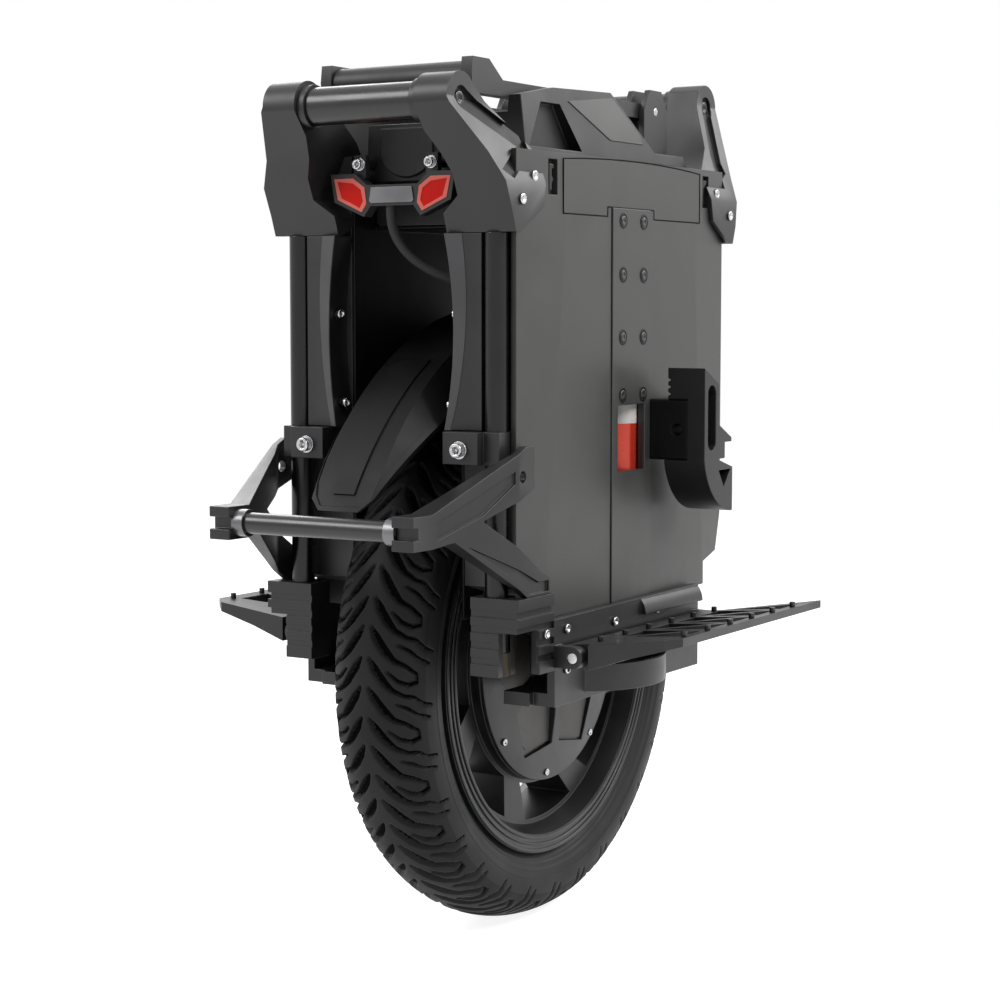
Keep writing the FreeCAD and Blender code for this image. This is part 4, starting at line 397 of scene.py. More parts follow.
def ease_edges(piece: Object, width_mm: float, corner_deg: float) -> None:
    """Breaks a piece's sharp edges with a narrow bevel.

    Args:
        piece: The piece or node.
        width_mm: The width of the bevel.
        corner_deg: The least turn between two faces that counts as an edge.
    """
    edge = piece.modifiers.new("edge", "BEVEL")
    edge.width = width_mm * MM
    edge.segments = EDGE_SEGMENTS
    edge.limit_method = "ANGLE"
    edge.angle_limit = math.radians(corner_deg)


def on_wheel(radius: float, turn_deg: float) -> Pair:
    """Returns X and Z of the point at a radius and a turn about the axle."""
    angle = math.radians(turn_deg)
    return radius * math.cos(angle), AXLE_Z + radius * math.sin(angle)


@dataclass
class Draft:
    """The points and faces of one piece while it is drawn."""

    name: str
    points: list[Vector] = field(default_factory=list)
    faces: list[tuple[int, ...]] = field(default_factory=list)

    def rings(self, rings: list[list[Vector]], close: Close = Close.ENDS) -> None:
        """Joins rings of equally many points with faces.

        Args:
            rings: The rings, in order.
            close: How the run ends.
        """
        count = len(rings[0])
        start = len(self.points)
        levels = [start + count * level for level in range(len(rings))]
        for ring in rings:
            self.points.extend(ring)
        steps = list(zip(levels, levels[1:]))
        if close is Close.LOOP:
            steps.append((levels[-1], start))
        for (low, high), i in product(steps, range(count)):
            j = (i + 1) % count
            self.faces.append((low + i, low + j, high + j, high + i))
        if close is Close.ENDS:
            self.faces.append(tuple(range(start + count - 1, start - 1, -1)))
            self.faces.append(tuple(range(levels[-1], levels[-1] + count)))

    def turned(
        self, place: Place, axis: Place, profile: Outline, count: int, close: Close = Close.ENDS
    ) -> None:
        """Turns (along, radius) pairs about an axis from a place, with count points a ring."""
        self.rings([self.ring(place, axis, *pair, count) for pair in profile], close)

    def ring(
        self, place: Place, axis: Place, along: float, radius: float, count: int, sides: int = 0
    ) -> list[Vector]:
        """Returns one ring of points round an axis, round or with flat sides.

        Args:
            place: The start of the axis.
            axis: Its direction.
            along: How far along the axis the ring lies.
            radius: Its radius, to the corners where it has sides.
            count: Its number of points.
            sides: The number of flat sides, or 0 for a round ring.

        Returns:
            The points.
        """
        way = Vector(axis).normalized()
        first = way.orthogonal().normalized()
        second = way.cross(first)
        middle = Vector(place) + way * along
        points = []
        for i in range(count):
            angle = 2 * math.pi * i / count
            reach = radius
            if sides:
                part = math.pi / sides
                reach = radius * math.cos(part) / math.cos(angle % (2 * part) - part)
            points.append(middle + (first * math.cos(angle) + second * math.sin(angle)) * reach)
        return points

    def socket_screw(self, place: Place, axis: Place, head: Head) -> None:
        """Draws the head of a socket screw with its six-sided hole.

        Args:
            place: The middle of the head's seat.
            axis: The way that the head faces.
            head: Its size.
        """
        count = 24
        radius, height = head.value
        hole, lip, tip = 0.55 * radius, 0.14 * radius, 0.1 * radius
        hole_floor, tip_floor = 0.45 * height, 0.3 * height
        outside = [(-SINK, radius), (height - lip, radius), (height, radius - lip)]
        inside = [(height, hole), (hole_floor, hole), (tip_floor, tip)]
        rings = [self.ring(place, axis, *pair, count) for pair in outside]
        rings += [self.ring(place, axis, *pair, count, sides=6) for pair in inside]
        self.rings(rings)

    def slab(self, outline: Places, thick: Place) -> None:
        """Draws a flat plate from the outline of one face and the step to the other."""
        base = [Vector(point) for point in outline]
        self.rings([base, [point + Vector(thick) for point in base]])

    def piece(self, body: Body, finish: Finish, edge_mm: float = 0.0) -> Object:
        """Makes the drawn mesh a piece on a body, with eased edges.

        Args:
            body: The body that it rides on.
            finish: Its finish.
            edge_mm: The width of its eased edges, or 0 for none.

        Returns:
            The new object.
        """
        mesh = bpy.data.meshes.new(self.name)
        mesh.from_pydata([tuple(point * MM) for point in self.points], [], self.faces)
        mesh.validate()
        made = new_piece(self.name, mesh, body, finish)
        mesh.shade_smooth()
        if edge_mm:
            ease_edges(made, edge_mm, PIECE_CORNER_DEG)
        made.modifiers.new("even", "WEIGHTED_NORMAL")
        return made


@dataclass
class Tyre:
    """The tyre: a squarish section with a chevron tread cut into it and fine rings on its sides.

    A groove is a run of (out from the middle, along the tyre, half width) points, for one pitch
    on one side.
    """

    radius: float = 250.0
    half_width: float = 47.5
    side_radius: float = 214.0
    shoulder_half: float = 40.0
    shoulder_drop: float = 14.0
    shoulder_pull: Pair = (47.3, 227.5)
    side_pull: Pair = (47.7, 202.0)
    bead: Pair = (37.0, 187.5)
    seat_radius: float = 178.2
    pitches: int = 30
    rows_per_pitch: int = 46
    tread_columns: int = 76
    shoulder_columns: int = 12
    side_columns: int = 30
    past_tread: float = 60.0
    fade_run: float = 64.0
    fade_width: float = 4.0
    side_margin: float = 2.0
    tread_margin: float = 6.0
    groove_depth: float = 5.0
    groove_spread: float = 1.2
    groove_lip: float = 1.0
    groove_slope: float = 1.9
    # Share of a groove's depth past which a face takes the painted groove shade.
    groove_shade_share: float = 0.85
    ring_height: float = 0.55
    ring_power: int = 4
    rings: Outline = ((192.5, 0.9), (196.5, 0.9), (202.0, 1.3), (209.0, 0.7))
    grooves: tuple[Places, ...] = (
        (
            (4, 0, 0.8), (9, 8, 2.8), (18, 20, 3.1), (26, 28, 2.0), (36, 32, 1.5), (45, 39, 1.7),
            (46, 46, 1.7), (39, 49, 1.6), (30, 46, 1.4), (21, 38, 0.7),
        ),
        (
            (4, 27, 0.8), (9, 35, 2.8), (18, 47, 2.9), (25, 54, 1.9), (35, 59, 1.4), (43, 60, 1.4),
            (52, 67, 1.6), (62, 70, 1.6),
        ),
        ((29, 14, 0.7), (38, 18, 1.3), (47, 25, 1.5), (58, 29, 1.5)),
    )

    @staticmethod
    def bend(start: Vector, pull: Vector, end: Vector, count: int) -> list[Vector]:
        """Returns points on the curve from start to end that bends towards pull, without start."""
        shares = [i / count for i in range(1, count + 1)]
        return [start * (1 - u) ** 2 + pull * 2 * u * (1 - u) + end * u ** 2 for u in shares]

    def section(self) -> list[Place]:
        """Returns half of the section, outwards: Y, radius and the run along the tread."""
        crown = (self.shoulder_half ** 2 + self.shoulder_drop ** 2) / (2 * self.shoulder_drop)
        sweep = math.asin(self.shoulder_half / crown)
        columns = self.tread_columns // 2
        points = []
        for i in range(columns + 1):
            angle = sweep * i / columns
            drop = crown * (1 - math.cos(angle))
            points.append((crown * math.sin(angle), self.radius - drop, crown * angle))
        run = crown * sweep
        start = Vector((self.shoulder_half, self.radius - self.shoulder_drop))
        end = Vector((self.half_width, self.side_radius))
        for p in self.bend(start, Vector(self.shoulder_pull), end, self.shoulder_columns):
            points.append((p.x, p.y, run + (p - start).length))
        run += self.past_tread
        for p in self.bend(end, Vector(self.side_pull), Vector(self.bead), self.side_columns):
            lift = max(1 - (abs(p.y - at) / wide) ** self.ring_power for at, wide in self.rings)
            points.append((p.x + max(0.0, lift) * self.ring_height, p.y, run))
        points.append((self.bead[0], self.seat_radius, run))
        return points

    def depth(self, out: float, along: float) -> float:
        """Returns how deep the tread is cut at a point, as a share of the full depth.

        Args:
            out: The run from the middle of the tread.
            along: The run round the tyre.

        Returns:
            The share, from 0 on a block to 1 in a groove.
        """
        pitch = 2 * math.pi * self.radius / self.pitches
        cut = 0.0
        for groove, shift in product(self.grooves, (-2, -1, 0, 1)):
            for (s0, t0, w0), (s1, t1, w1) in zip(groove, groove[1:]):
                ds, dt = s1 - s0, t1 - t0
                ps, pt = out - s0, along - t0 - shift * pitch
                u = min(1.0, max(0.0, (ps * ds + pt * dt) / (ds * ds + dt * dt)))
                gap = math.hypot(ps - u * ds, pt - u * dt)
                reach = self.groove_spread * (w0 + (w1 - w0) * u) + self.groove_lip
                edge = min(1.0, max(0.0, (reach - gap) / self.groove_slope))
                cut = max(cut, edge * edge * (3 - 2 * edge))
        return cut

    def cuts(self, half: list[Place]) -> np.ndarray:
        """Returns how deep each point of the tyre is cut, row by row round it.

        Args:
            half: Half of the section, from the middle outwards.

        Returns:
            The shares of a groove's depth.
        """
        step = 2 * math.pi * self.radius / (self.pitches * self.rows_per_pitch)
        table = []
        for row in range(self.rows_per_pitch):
            line = []
            for _, radius, run in half:
                kept = min(1.0, max(0.0, (self.fade_run - run) / self.fade_width))
                treaded = radius > self.side_radius + self.side_margin
                line.append(self.depth(run, row * step) * kept if treaded else 0.0)
            table.append([*reversed(line[1:]), *line])
        return np.tile(np.array(table), (self.pitches, 1))

    def build(self) -> Object:
        """Builds the tyre's mesh and returns the piece."""
        half = self.section()
        full = [(-y, radius, run) for y, radius, run in reversed(half[1:])] + half
        across, reach, run = (np.array(column) for column in zip(*full))
        cut = self.cuts(half)
        rows, columns = cut.shape
        turn = (np.arange(rows) * 2 * math.pi / rows)[:, None]
        deep = reach - cut * self.groove_depth
        wide = np.broadcast_to(across, cut.shape)
        points = [deep * np.cos(turn), wide, deep * np.sin(turn) + self.radius]
        faces = [
            (a * columns + i, b * columns + i, b * columns + j, a * columns + j)
            for a, b in zip(range(rows), (*range(1, rows), 0))
            for i, j in zip(range(columns), (*range(1, columns), 0))
        ]
        mesh = bpy.data.meshes.new("tyre_tread")
        mesh.from_pydata((np.stack(points, axis=-1) * MM).reshape(-1, 3).tolist(), [], faces)
        mesh.shade_smooth()
        piece = new_piece("tyre_tread", mesh, Body.WHEEL, TYRE_RUBBER)
        mesh.materials.append(TREAD_SHADE_RUBBER.material())
        mesh.materials.append(GROOVE_SHADE_RUBBER.material())
        # Painted shade: the tread's face takes the darker tread rubber, and the sides keep the
        # plain rubber.
        margin = self.tread_margin
        treaded = (run < self.fade_run - margin) & (reach > self.side_radius + margin)
        below = np.roll(cut, -1, axis=0)
        mean = (cut + np.roll(cut, -1, axis=1) + below + np.roll(below, -1, axis=1)) / 4
        # Painted shade: faces deep down in a groove take the near-black groove rubber.
        groove_shade_slot = 2
        rubber = np.where(mean > self.groove_shade_share, groove_shade_slot, treaded)
        mesh.polygons.foreach_set("material_index", rubber.astype(np.int32).ravel())
        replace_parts(piece, "tyre")
        return piece


@dataclass
class Cable:
    """The tail lamp's cable: it hangs from the lamp's bar and enters the arch's right-hand wall."""

    radius: float = 4.2
    round_steps: int = 4
    run_steps: int = 8
    route: Places = (
        (-199, 5, 658), (-199, 5, 645), (-195, 2, 630), (-189, -8, 615), (-181, -22, 604),
        (-171, -39, 595), (-162, -54, 590),
    )

    def build(self) -> Object:
        """Builds the cable as one smooth curve and returns the piece."""
        curve = bpy.data.curves.new("lamp_cable", "CURVE")
        curve.dimensions = "3D"
        curve.bevel_depth = self.radius * MM
        curve.bevel_resolution = self.round_steps
        spline = curve.splines.new("NURBS")
        spline.points.add(len(self.route) - 1)
        for point, place in zip(spline.points, self.route):
            point.co = (*(Vector(place) * MM), 1.0)
        spline.order_u = 3
        spline.use_endpoint_u = True
        spline.resolution_u = self.run_steps
        piece = new_piece("lamp_cable", curve, Body.CHASSIS, CABLE_RUBBER)
        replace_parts(piece, "tail_lamp_cable")
        return piece


@dataclass
class Shell:
    """The rigid pieces of the frame, with their edges eased and their finishes."""

    edge_mm: float = 0.9
    fine_edge_mm: float = 0.4
    weld_mm: float = 0.002
    flat_deg: float = 0.6
    corner_deg: float = 32.0
    fine: tuple[str, ...] = (
        "pedal_studs_right", "pedal_studs_left", "handle_collars", "bumper_collars", "power_button",
    )

    def build(self) -> None:
        """Dresses every node by its slot and eases its edges."""
        slots = {part["node"]: part["material_slot"] for part in frame["record"]["subparts"]}
        for name, node in frame["nodes"].items():
            finish = NODE_FINISH.get(name, SLOT_FINISH[slots[name]])
            finish.dress(node)
            self.ease(node, self.fine_edge_mm if name in self.fine else self.edge_mm)

    def ease(self, node: Object, width_mm: float) -> None:
        """Breaks a node's sharp edges, as a casting or moulding has them.

        Args:
            node: The node's object.
            width_mm: The width of the eased edge.
        """
        weld = node.modifiers.new("weld", "WELD")
        weld.merge_threshold = self.weld_mm * MM
        flat = node.modifiers.new("flat", "DECIMATE")
        flat.decimate_type = "DISSOLVE"
        flat.angle_limit = math.radians(self.flat_deg)
        ease_edges(node, width_mm, self.corner_deg)
        node.modifiers.new("even", "WEIGHTED_NORMAL")


@dataclass
class Fasteners:
    """The screws that show: bright ones on the metal pieces and black ones on the strips.

    A washer is its radius, its thickness and the points of its ring.
    """

    strip_face: float = 122.3
    strip_columns: tuple[float, ...] = (-17.0, 22.0)
    strip_heights: tuple[float, ...] = (649.0, 601.0, 545.0, 493.0)
    well: Outline = ((-SINK, 7.2), (0.25, 7.2), (0.55, 6.7), (0.55, 5.4), (0.1, 5.2), (0.1, 0.5))
    well_points: int = 28
    tube_eyes: Places = ((-240.0, 89.0, 741.0), (205.0, 89.0, 767.0))
    arm_places: Places = ((172.0, 121.0, 681.0), (196.0, 124.0, 661.0))
    pillar_places: Places = ((-197.0, 64.2, 566.0), (-197.0, 58.8, 489.0))
    lug_place: Place = (-222.0, 79.0, 453.0)
    lug_washer: tuple[float, float, int] = (7.6, 1.6, 28)
    lamp_place: Place = (-199.0, 37.0, 694.0)
    lamp_washer: tuple[float, float, int] = (5.6, 1.4, 24)
    washer_chamfer: float = 0.4
    washer_hole: float = 2.0
    plate_face: float = 131.0
    plate_places: Outline = ((-133.0, 296.0), (-47.0, 292.0), (34.0, 294.0), (-133.0, 261.0))
    cheek_place: Pair = (-168.0, 295.5)
    cover_ring: float = 112.0
    cover_face: float = 39.9
    cover_screws: int = 8
    cover_turn_deg: float = 39.0

    def build(self) -> None:
        """Draws the screws of each body."""
        self.strips()
        self.chassis()
        self.carriage()
        self.wheel()

    def strips(self) -> None:
        """Draws the black screws of the strips, in their wells, and of the handle tubes' ends."""
        heads = Draft("strip_screws")
        wells = Draft("strip_screw_wells")
        for side in Side:
            out = side.at(0, 1, 0)
            for x, z in product(self.strip_columns, self.strip_heights):
                seat = side.at(x, self.strip_face, z)
                heads.socket_screw(seat, out, Head.STRIP)
                wells.turned(seat, out, self.well, self.well_points)
            for eye in self.tube_eyes:
                heads.socket_screw(side.at(*eye), out, Head.TUBE)
        heads.piece(Body.CHASSIS, DARK_SCREW)
        wells.piece(Body.CHASSIS, MATT_PLASTIC)

    def chassis(self) -> None:
        """Draws the bright screws of the arms, the pillars, the lugs and the tail lamp."""
        heads = Draft("chassis_screws")
        back = (-1, 0, 0)
        bolts = (
            (self.lug_place, self.lug_washer, Head.LUG),
            (self.lamp_place, self.lamp_washer, Head.LAMP),
        )
        for side in Side:
            for end, (x, y, z) in product(End, self.arm_places):
                heads.socket_screw(side.at(end.value * x, y, z), side.at(0, 1, 0), Head.ARM)
            for place in self.pillar_places:
                heads.socket_screw(side.at(*place), side.at(0, -1, 0), Head.PILLAR)
            for place, (radius, thick, points), head in bolts:
                x, y, z = side.at(*place)
                washer = [
                    (-SINK, radius), (thick - self.washer_chamfer, radius),
                    (thick, radius - self.washer_chamfer), (thick, self.washer_hole),
                ]
                heads.turned((x, y, z), back, washer, points)
                heads.socket_screw((x - thick, y, z), back, head)
        heads.piece(Body.CHASSIS, STEEL)

    def carriage(self) -> None:
        """Draws the bright screws of the hanger plates and the slider cheeks."""
        heads = Draft("carriage_screws")
        for side, (x, z) in product(Side, (*self.plate_places, self.cheek_place)):
            heads.socket_screw(side.at(x, self.plate_face, z), side.at(0, 1, 0), Head.PLATE)
        heads.piece(Body.CARRIAGE, STEEL)

    def wheel(self) -> None:
        """Draws the ring of small screws on each hub cover."""
        heads = Draft("hub_cover_screws")
        for side, number in product(Side, range(self.cover_screws)):
            turn = self.cover_turn_deg + 360 * number / self.cover_screws
            x, z = on_wheel(self.cover_ring, turn)
            heads.socket_screw(side.at(x, self.cover_face, z), side.at(0, 1, 0), Head.COVER)
        heads.piece(Body.WHEEL, STEEL)


@dataclass
class TailLamp:
    """The tail lamp's face: the bare plate in the middle and the pale rim round each lens."""

    face_x: float = -205.0
    plate_half: float = 21.0
    plate_low: float = 660.5
    plate_high: float = 674.0
    plate_point: float = 2.0
    plate_thick: float = 1.2
    rim_inset: float = 4.16
    rim_rise: float = 0.5
    lens: Outline = (
        (60.0, 682.0), (56.0, 664.0), (31.0, 653.0), (26.0, 660.0), (28.0, 674.0), (40.0, 682.0),
    )

    def build(self) -> None:
        """Draws the plate and the two rims."""
        plate = Draft("lamp_centre_plate")
        half, low, high = self.plate_half, self.plate_low, self.plate_high
        tip = (half + self.plate_point, low + self.plate_point)
        outline = [(-half, low), (half, low), tip, (half, high), (-half, high), (-tip[0], tip[1])]
        plate.slab([(self.face_x, y, z) for y, z in outline], (-self.plate_thick, 0, 0))
        plate.piece(Body.CHASSIS, GREY_ALLOY, edge_mm=0.4)
        rims = Draft("lens_rims")
        corners = [Vector(corner) for corner in self.lens]
        middle = sum(corners, Vector((0, 0))) / len(corners)
        rise = Vector((-self.rim_rise, 0, 0))
        for side in Side:
            outer, inner = [], []
            for corner in corners:
                inward = middle - corner
                near = corner + inward * (self.rim_inset / inward.length)
                outer.append(Vector(side.at(self.face_x, *corner)))
                inner.append(Vector(side.at(self.face_x, *near)))
            top, lip = ([point + rise for point in line] for line in (outer, inner))
            rims.rings([outer, top, lip, inner], Close.LOOP)
        rims.piece(Body.CHASSIS, LENS_RIM, edge_mm=0.2)


@dataclass
class Headlight:
    """The headlight's glass: a thin clear cover over two shallow bowls."""

    front: float = 204.0
    half: float = 41.6
    low: float = 658.4
    high: float = 690.6
    cover: float = 1.2
    bowl_y: float = 20.0
    bowl_back: float = 3.8
    bowl_points: int = 40
    bowl: Outline = (
        (-0.1, 14.5), (2.2, 14.5), (2.4, 13.7), (0.9, 10.5), (0.3, 5.0), (1.6, 4.2), (2.2, 2.4),
        (2.4, 0.3),
    )

    def build(self) -> None:
        """Draws the cover and the bowls, which stand for the clear block."""
        cover = Draft("headlight_cover")
        half, low, high = self.half, self.low, self.high
        outline = [(-half, low), (half, low), (half, high), (-half, high)]
        cover.slab([(self.front, y, z) for y, z in outline], (-self.cover, 0, 0))
        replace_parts(cover.piece(Body.CHASSIS, CLEAR_LENS, edge_mm=0.4), "headlight_lens")
        bowls = Draft("headlight_bowls")
        for side in Side:
            seat = side.at(self.front - self.bowl_back, self.bowl_y, (low + high) / 2)
            bowls.turned(seat, (1, 0, 0), self.bowl, self.bowl_points)
        bowls.piece(Body.CHASSIS, STEEL)


@dataclass
class Trim:
    """Thin trim: rim ridges, latch catches, cover panels, bare badges, labels, the button's ring.

    The cover's side leans out from cover_top, a Y and a Z, by one in cover_slope. The can and the
    button are a place and a radius.
    """

    ridges: Outline = ((170.8, 174.2), (177.0, 179.6), (182.8, 186.2))
    ridge_floor: float = 41.8
    ridge_top: float = 43.6
    ridge_chamfer: float = 0.5
    ridge_points: int = 180
    catch_x: tuple[float, ...] = (-138.0, 153.0)
    catch_low: float = 671.0
    catch_floor: float = 113.6
    catch_thick: float = 4.6
    catch: Outline = (
        (-3.5, 0), (1.0, 0), (1.0, 6), (3.8, 9), (1.0, 12), (1.0, 18), (4.0, 18), (4.0, 22),
        (-3.5, 22),
    )
    cover_top: Pair = (93.0, 766.0)
    cover_slope: float = 9.0
    panel_sink: float = 0.3
    panel_thick: float = 1.1
    panel: Outline = ((-70.0, 752.0), (2.0, 722.0), (64.0, 722.0), (60.0, 730.0), (12.0, 761.0))
    badge_radius: float = 90.0
    badge_turn_deg: float = 232.0
    badge_seat: float = 39.3
    badge_half: Pair = (15.0, 6.5)
    badge_corner: float = 3.0
    badge_thick: float = 0.9
    can: Place = (20.0, 96.5, 18.0)
    label_low: float = 466.0
    label_high: float = 500.0
    label_sink: float = 0.2
    label_rise: float = 0.12
    label_points: int = 48
    button: Place = (-40.0, 738.0, 9.0)
    button_section: Outline = ((-0.2, 0.2), (-0.2, 2.6), (0.7, 2.6), (1.0, 2.2), (1.0, 0.2))
    button_points: int = 40

    def build(self) -> None:
        """Draws each kind of trim."""
        self.rim_ridges()
        self.catches()
        self.panels()
        self.badges()
        self.labels()
        self.button_ring()

    def rim_ridges(self) -> None:
        """Draws the turned ridges on the flat of each rim flange."""
        draft = Draft("rim_ridges")
        floor, top, chamfer = self.ridge_floor, self.ridge_top, self.ridge_chamfer
        for side, (low, high) in product(Side, self.ridges):
            profile = [(floor, low), (top, low + chamfer), (top, high - chamfer), (floor, high)]
            profile.append(profile[0])
            draft.turned((0, 0, AXLE_Z), side.at(0, 1, 0), profile, self.ridge_points, Close.OPEN)
        draft.piece(Body.WHEEL, CAST_ALLOY)

    def catches(self) -> None:
        """Draws the bent latch plates in the slots beside the side covers."""
        draft = Draft("latch_catches")
        for side, x in product(Side, self.catch_x):
            outline = [side.at(x + u, self.catch_floor, self.catch_low + v) for u, v in self.catch]
            draft.slab(outline, side.at(0, self.catch_thick, 0))
        draft.piece(Body.CHASSIS, BLACK_STEEL, edge_mm=0.5)

    def panels(self) -> None:
        """Draws the inset panels on the top cover's sloping sides."""
        draft = Draft("top_cover_panels")
        out, high = self.cover_top
        for side in Side:
            outline = [
                side.at(x, out + (high - z) / self.cover_slope - self.panel_sink, z)
                for x, z in self.panel
            ]
            draft.slab(outline, side.at(0, self.panel_thick, 0))
        draft.piece(Body.CHASSIS, CASE_SKIN, edge_mm=0.5)

    def badges(self) -> None:
        """Draws the bare badge plate on one panel of each hub cover."""
        draft = Draft("bare_badges")
        angle = math.radians(self.badge_turn_deg)
        radial = Vector((math.cos(angle), 0, math.sin(angle)))
        tangent = Vector((-radial.z, 0, radial.x))
        corner = self.badge_corner
        long, wide = (half - corner for half in self.badge_half)
        for side in Side:
            middle = radial * self.badge_radius + Vector(side.at(0, self.badge_seat, AXLE_Z))
            outline = []
            for (u, v), turn in product(((-1, -1), (1, -1), (1, 1), (-1, 1)), (-45, 0, 45)):
                way = math.radians(turn) + math.atan2(v, u)
                along = u * long + corner * math.cos(way)
                outwards = v * wide + corner * math.sin(way)
                outline.append(tuple(middle + tangent * along + radial * outwards))
            draft.slab(outline, side.at(0, self.badge_thick, 0))
        draft.piece(Body.WHEEL, BLACK_ALLOY, edge_mm=0.3)

    def labels(self) -> None:
        """Draws the blank label round each red can."""
        x, y, radius = self.can
        draft = Draft("blank_labels")
        inside, outside = radius - self.label_sink, radius + self.label_rise
        high = self.label_high - self.label_low
        profile = [(0.0, inside), (0.0, outside), (high, outside), (high, inside)]
        for side in Side:
            draft.turned(side.at(x, y, self.label_low), (0, 0, 1), profile, self.label_points)
        draft.piece(Body.CHASSIS, LABEL_FILM)

    def button_ring(self) -> None:
        """Draws the bright ring round the power button."""
        x, z, radius = self.button
        draft = Draft("button_ring")
        profile = [(along, radius + reach) for along, reach in self.button_section]
        profile.append(profile[0])
        draft.turned((x, 0, z), (0, 0, 1), profile, self.button_points, Close.OPEN)
        draft.piece(Body.CHASSIS, GREY_ALLOY)


@dataclass
class Inlays:
    """Plates that show as another tone: painted shade in the arm grooves, pillar lips and hub cover
    panels.

    A groove is its run in X and Z and the middle of its round eye. The arm's face flares out
    from floor_top at the eye to floor_low at flare_z.
    """

    flare_z: float = 675.0
    floor_top: float = 89.0
    floor_low: float = 120.0
    floor_lift: float = 0.2
    floor_thick: float = 0.6
    eye_radius: float = 10.3
    eye_start_deg: float = 52.0
    eye_step_deg: float = 30.0
    eye_points: int = 7
    grooves: tuple[tuple[End, Outline, Pair], ...] = (
        (End.REAR, ((-182, 705), (-220, 684), (-206, 677), (-164, 701), (-164, 715)), (-240, 741)),
        (End.FRONT, ((202, 712), (206, 702), (192, 695), (184, 705), (184, 719)), (205, 767)),
    )
    lip_back: float = 210.0
    lip_slope: float = 5.0 / 22.0
    lip_inner: float = 56.0
    lip_bow: float = 8.0
    lip_low: float = 468.6
    lip_high: float = 633.4
    lip_inset: float = 0.3
    lip_width: float = 10.5
    lip_spread: float = 5.0
    lip_rise: float = 0.5
    lip_steps: int = 28
    panel_count: int = 6
    panel_floor: float = 38.4
    panel_rise: float = 1.2
    panel: Outline = ((44, -23.4), (82.6, -24.3), (102.4, 0), (82.6, 24.3), (44, 23.4), (44, 0))

    def build(self) -> None:
        """Draws each kind of plate."""
        self.arm_groove_shades()
        self.pillar_lips()
        self.hub_panels()

    def arm_groove_shades(self) -> None:
        """Draws a near-black plate on the floor of the groove in each handle arm: painted shade in
        the groove.
        """
        draft = Draft("arm_groove_shade_plates")
        for end, run, (eye_x, eye_z) in self.grooves:
            slope = (self.floor_low - self.floor_top) / (eye_z - self.flare_z)
            eye = []
            for i in range(self.eye_points):
                turn = math.radians(self.eye_start_deg + self.eye_step_deg * i)
                across = end.value * self.eye_radius * math.cos(turn)
                eye.append((eye_x - across, eye_z + self.eye_radius * math.sin(turn)))
            for side in Side:
                outline = [
                    side.at(x, self.floor_top + (eye_z - z) * slope + self.floor_lift, z)
                    for x, z in (*eye, *run)
                ]
                draft.slab(outline, side.at(0, -self.floor_thick, 0))
        # Painted shade: the plates take the near-black matt moulding.
        draft.piece(Body.CHASSIS, MATT_PLASTIC)

    def pillar_lips(self) -> None:
        """Draws the pale lip along the hollow inner edge of each rear pillar."""
        draft = Draft("pillar_lips")
        rise = self.lip_rise
        for side in Side:
            rings = []
            for i in range(self.lip_steps + 1):
                u = 2 * i / self.lip_steps - 1
                z = self.lip_low + (self.lip_high - self.lip_low) * i / self.lip_steps
                near = self.lip_inner + self.lip_bow * (1 - u * u) + self.lip_inset
                far = near + self.lip_width + self.lip_spread * u
                ring = []
                for y, lift in ((near, rise), (far, rise), (far, -SINK), (near, -SINK)):
                    x = -self.lip_back + (y - self.lip_inner) * self.lip_slope - lift
                    ring.append(Vector(side.at(x, y, z)))
                rings.append(ring)
            draft.rings(rings)
        draft.piece(Body.CHASSIS, PALE_LIP_ALLOY, edge_mm=0.2)

    def hub_panels(self) -> None:
        """Draws the coated plate in each panel of the hub covers."""
        draft = Draft("hub_cover_plates")
        for side, number in product(Side, range(self.panel_count)):
            outline = []
            for radius, turn in self.panel:
                x, z = on_wheel(radius, turn + 360 * number / self.panel_count)
                outline.append(side.at(x, self.panel_floor, z))
            draft.slab(outline, side.at(0, self.panel_rise, 0))
        draft.piece(Body.WHEEL, PANEL_COAT, edge_mm=0.4)


@dataclass
class Seals:
    """The thin rubber lines in the case's joints: round each side cover and beside each strip."""

    face: float = 121.0
    bead: float = 0.55
    round_steps: int = 2
    rear: float = -122.2
    front: float = 137.2
    low: float = 651.8
    high: float = 698.2
    rise: float = 4.4
    top_steps: int = 20
    step_x: float = 43.8
    step_z: float = 660.2
    strip_x: float = 36.5
    strip_low: float = 306.5

    def build(self) -> Object:
        """Builds the lines as one set of curves and returns the piece."""
        curve = bpy.data.curves.new("case_seals", "CURVE")
        curve.dimensions = "3D"
        curve.bevel_depth = self.bead * MM
        curve.bevel_resolution = self.round_steps
        top = []
        for i in range(self.top_steps + 1):
            x = self.front + (self.rear - self.front) * i / self.top_steps
            top.append((x, self.high + self.rise * (1 - (2 * i / self.top_steps - 1) ** 2)))
        lid = [
            (self.rear, self.low), (-self.step_x, self.low), (-self.step_x, self.step_z),
            (self.step_x, self.step_z), (self.step_x, self.low), (self.front, self.low), *top,
        ]
        lines = [(lid, True)]
        for x in (-self.strip_x, self.strip_x):
            lines.append(([(x, self.strip_low), (x, self.step_z)], False))
        for side, (line, closed) in product(Side, lines):
            spline = curve.splines.new("POLY")
            spline.points.add(len(line) - 1)
            spline.use_cyclic_u = closed
            for point, (x, z) in zip(spline.points, line):
                point.co = (*(Vector(side.at(x, self.face, z)) * MM), 1.0)
        return new_piece("case_seals", curve, Body.CHASSIS, SEAL_RUBBER)


def hang(thing: Object, place: Place, way: Vector) -> None:
    """Puts a camera or lamp at a place, turned to look along a direction."""
    thing.location = place
    thing.rotation_euler = way.to_track_quat("-Z", "Y").to_euler()


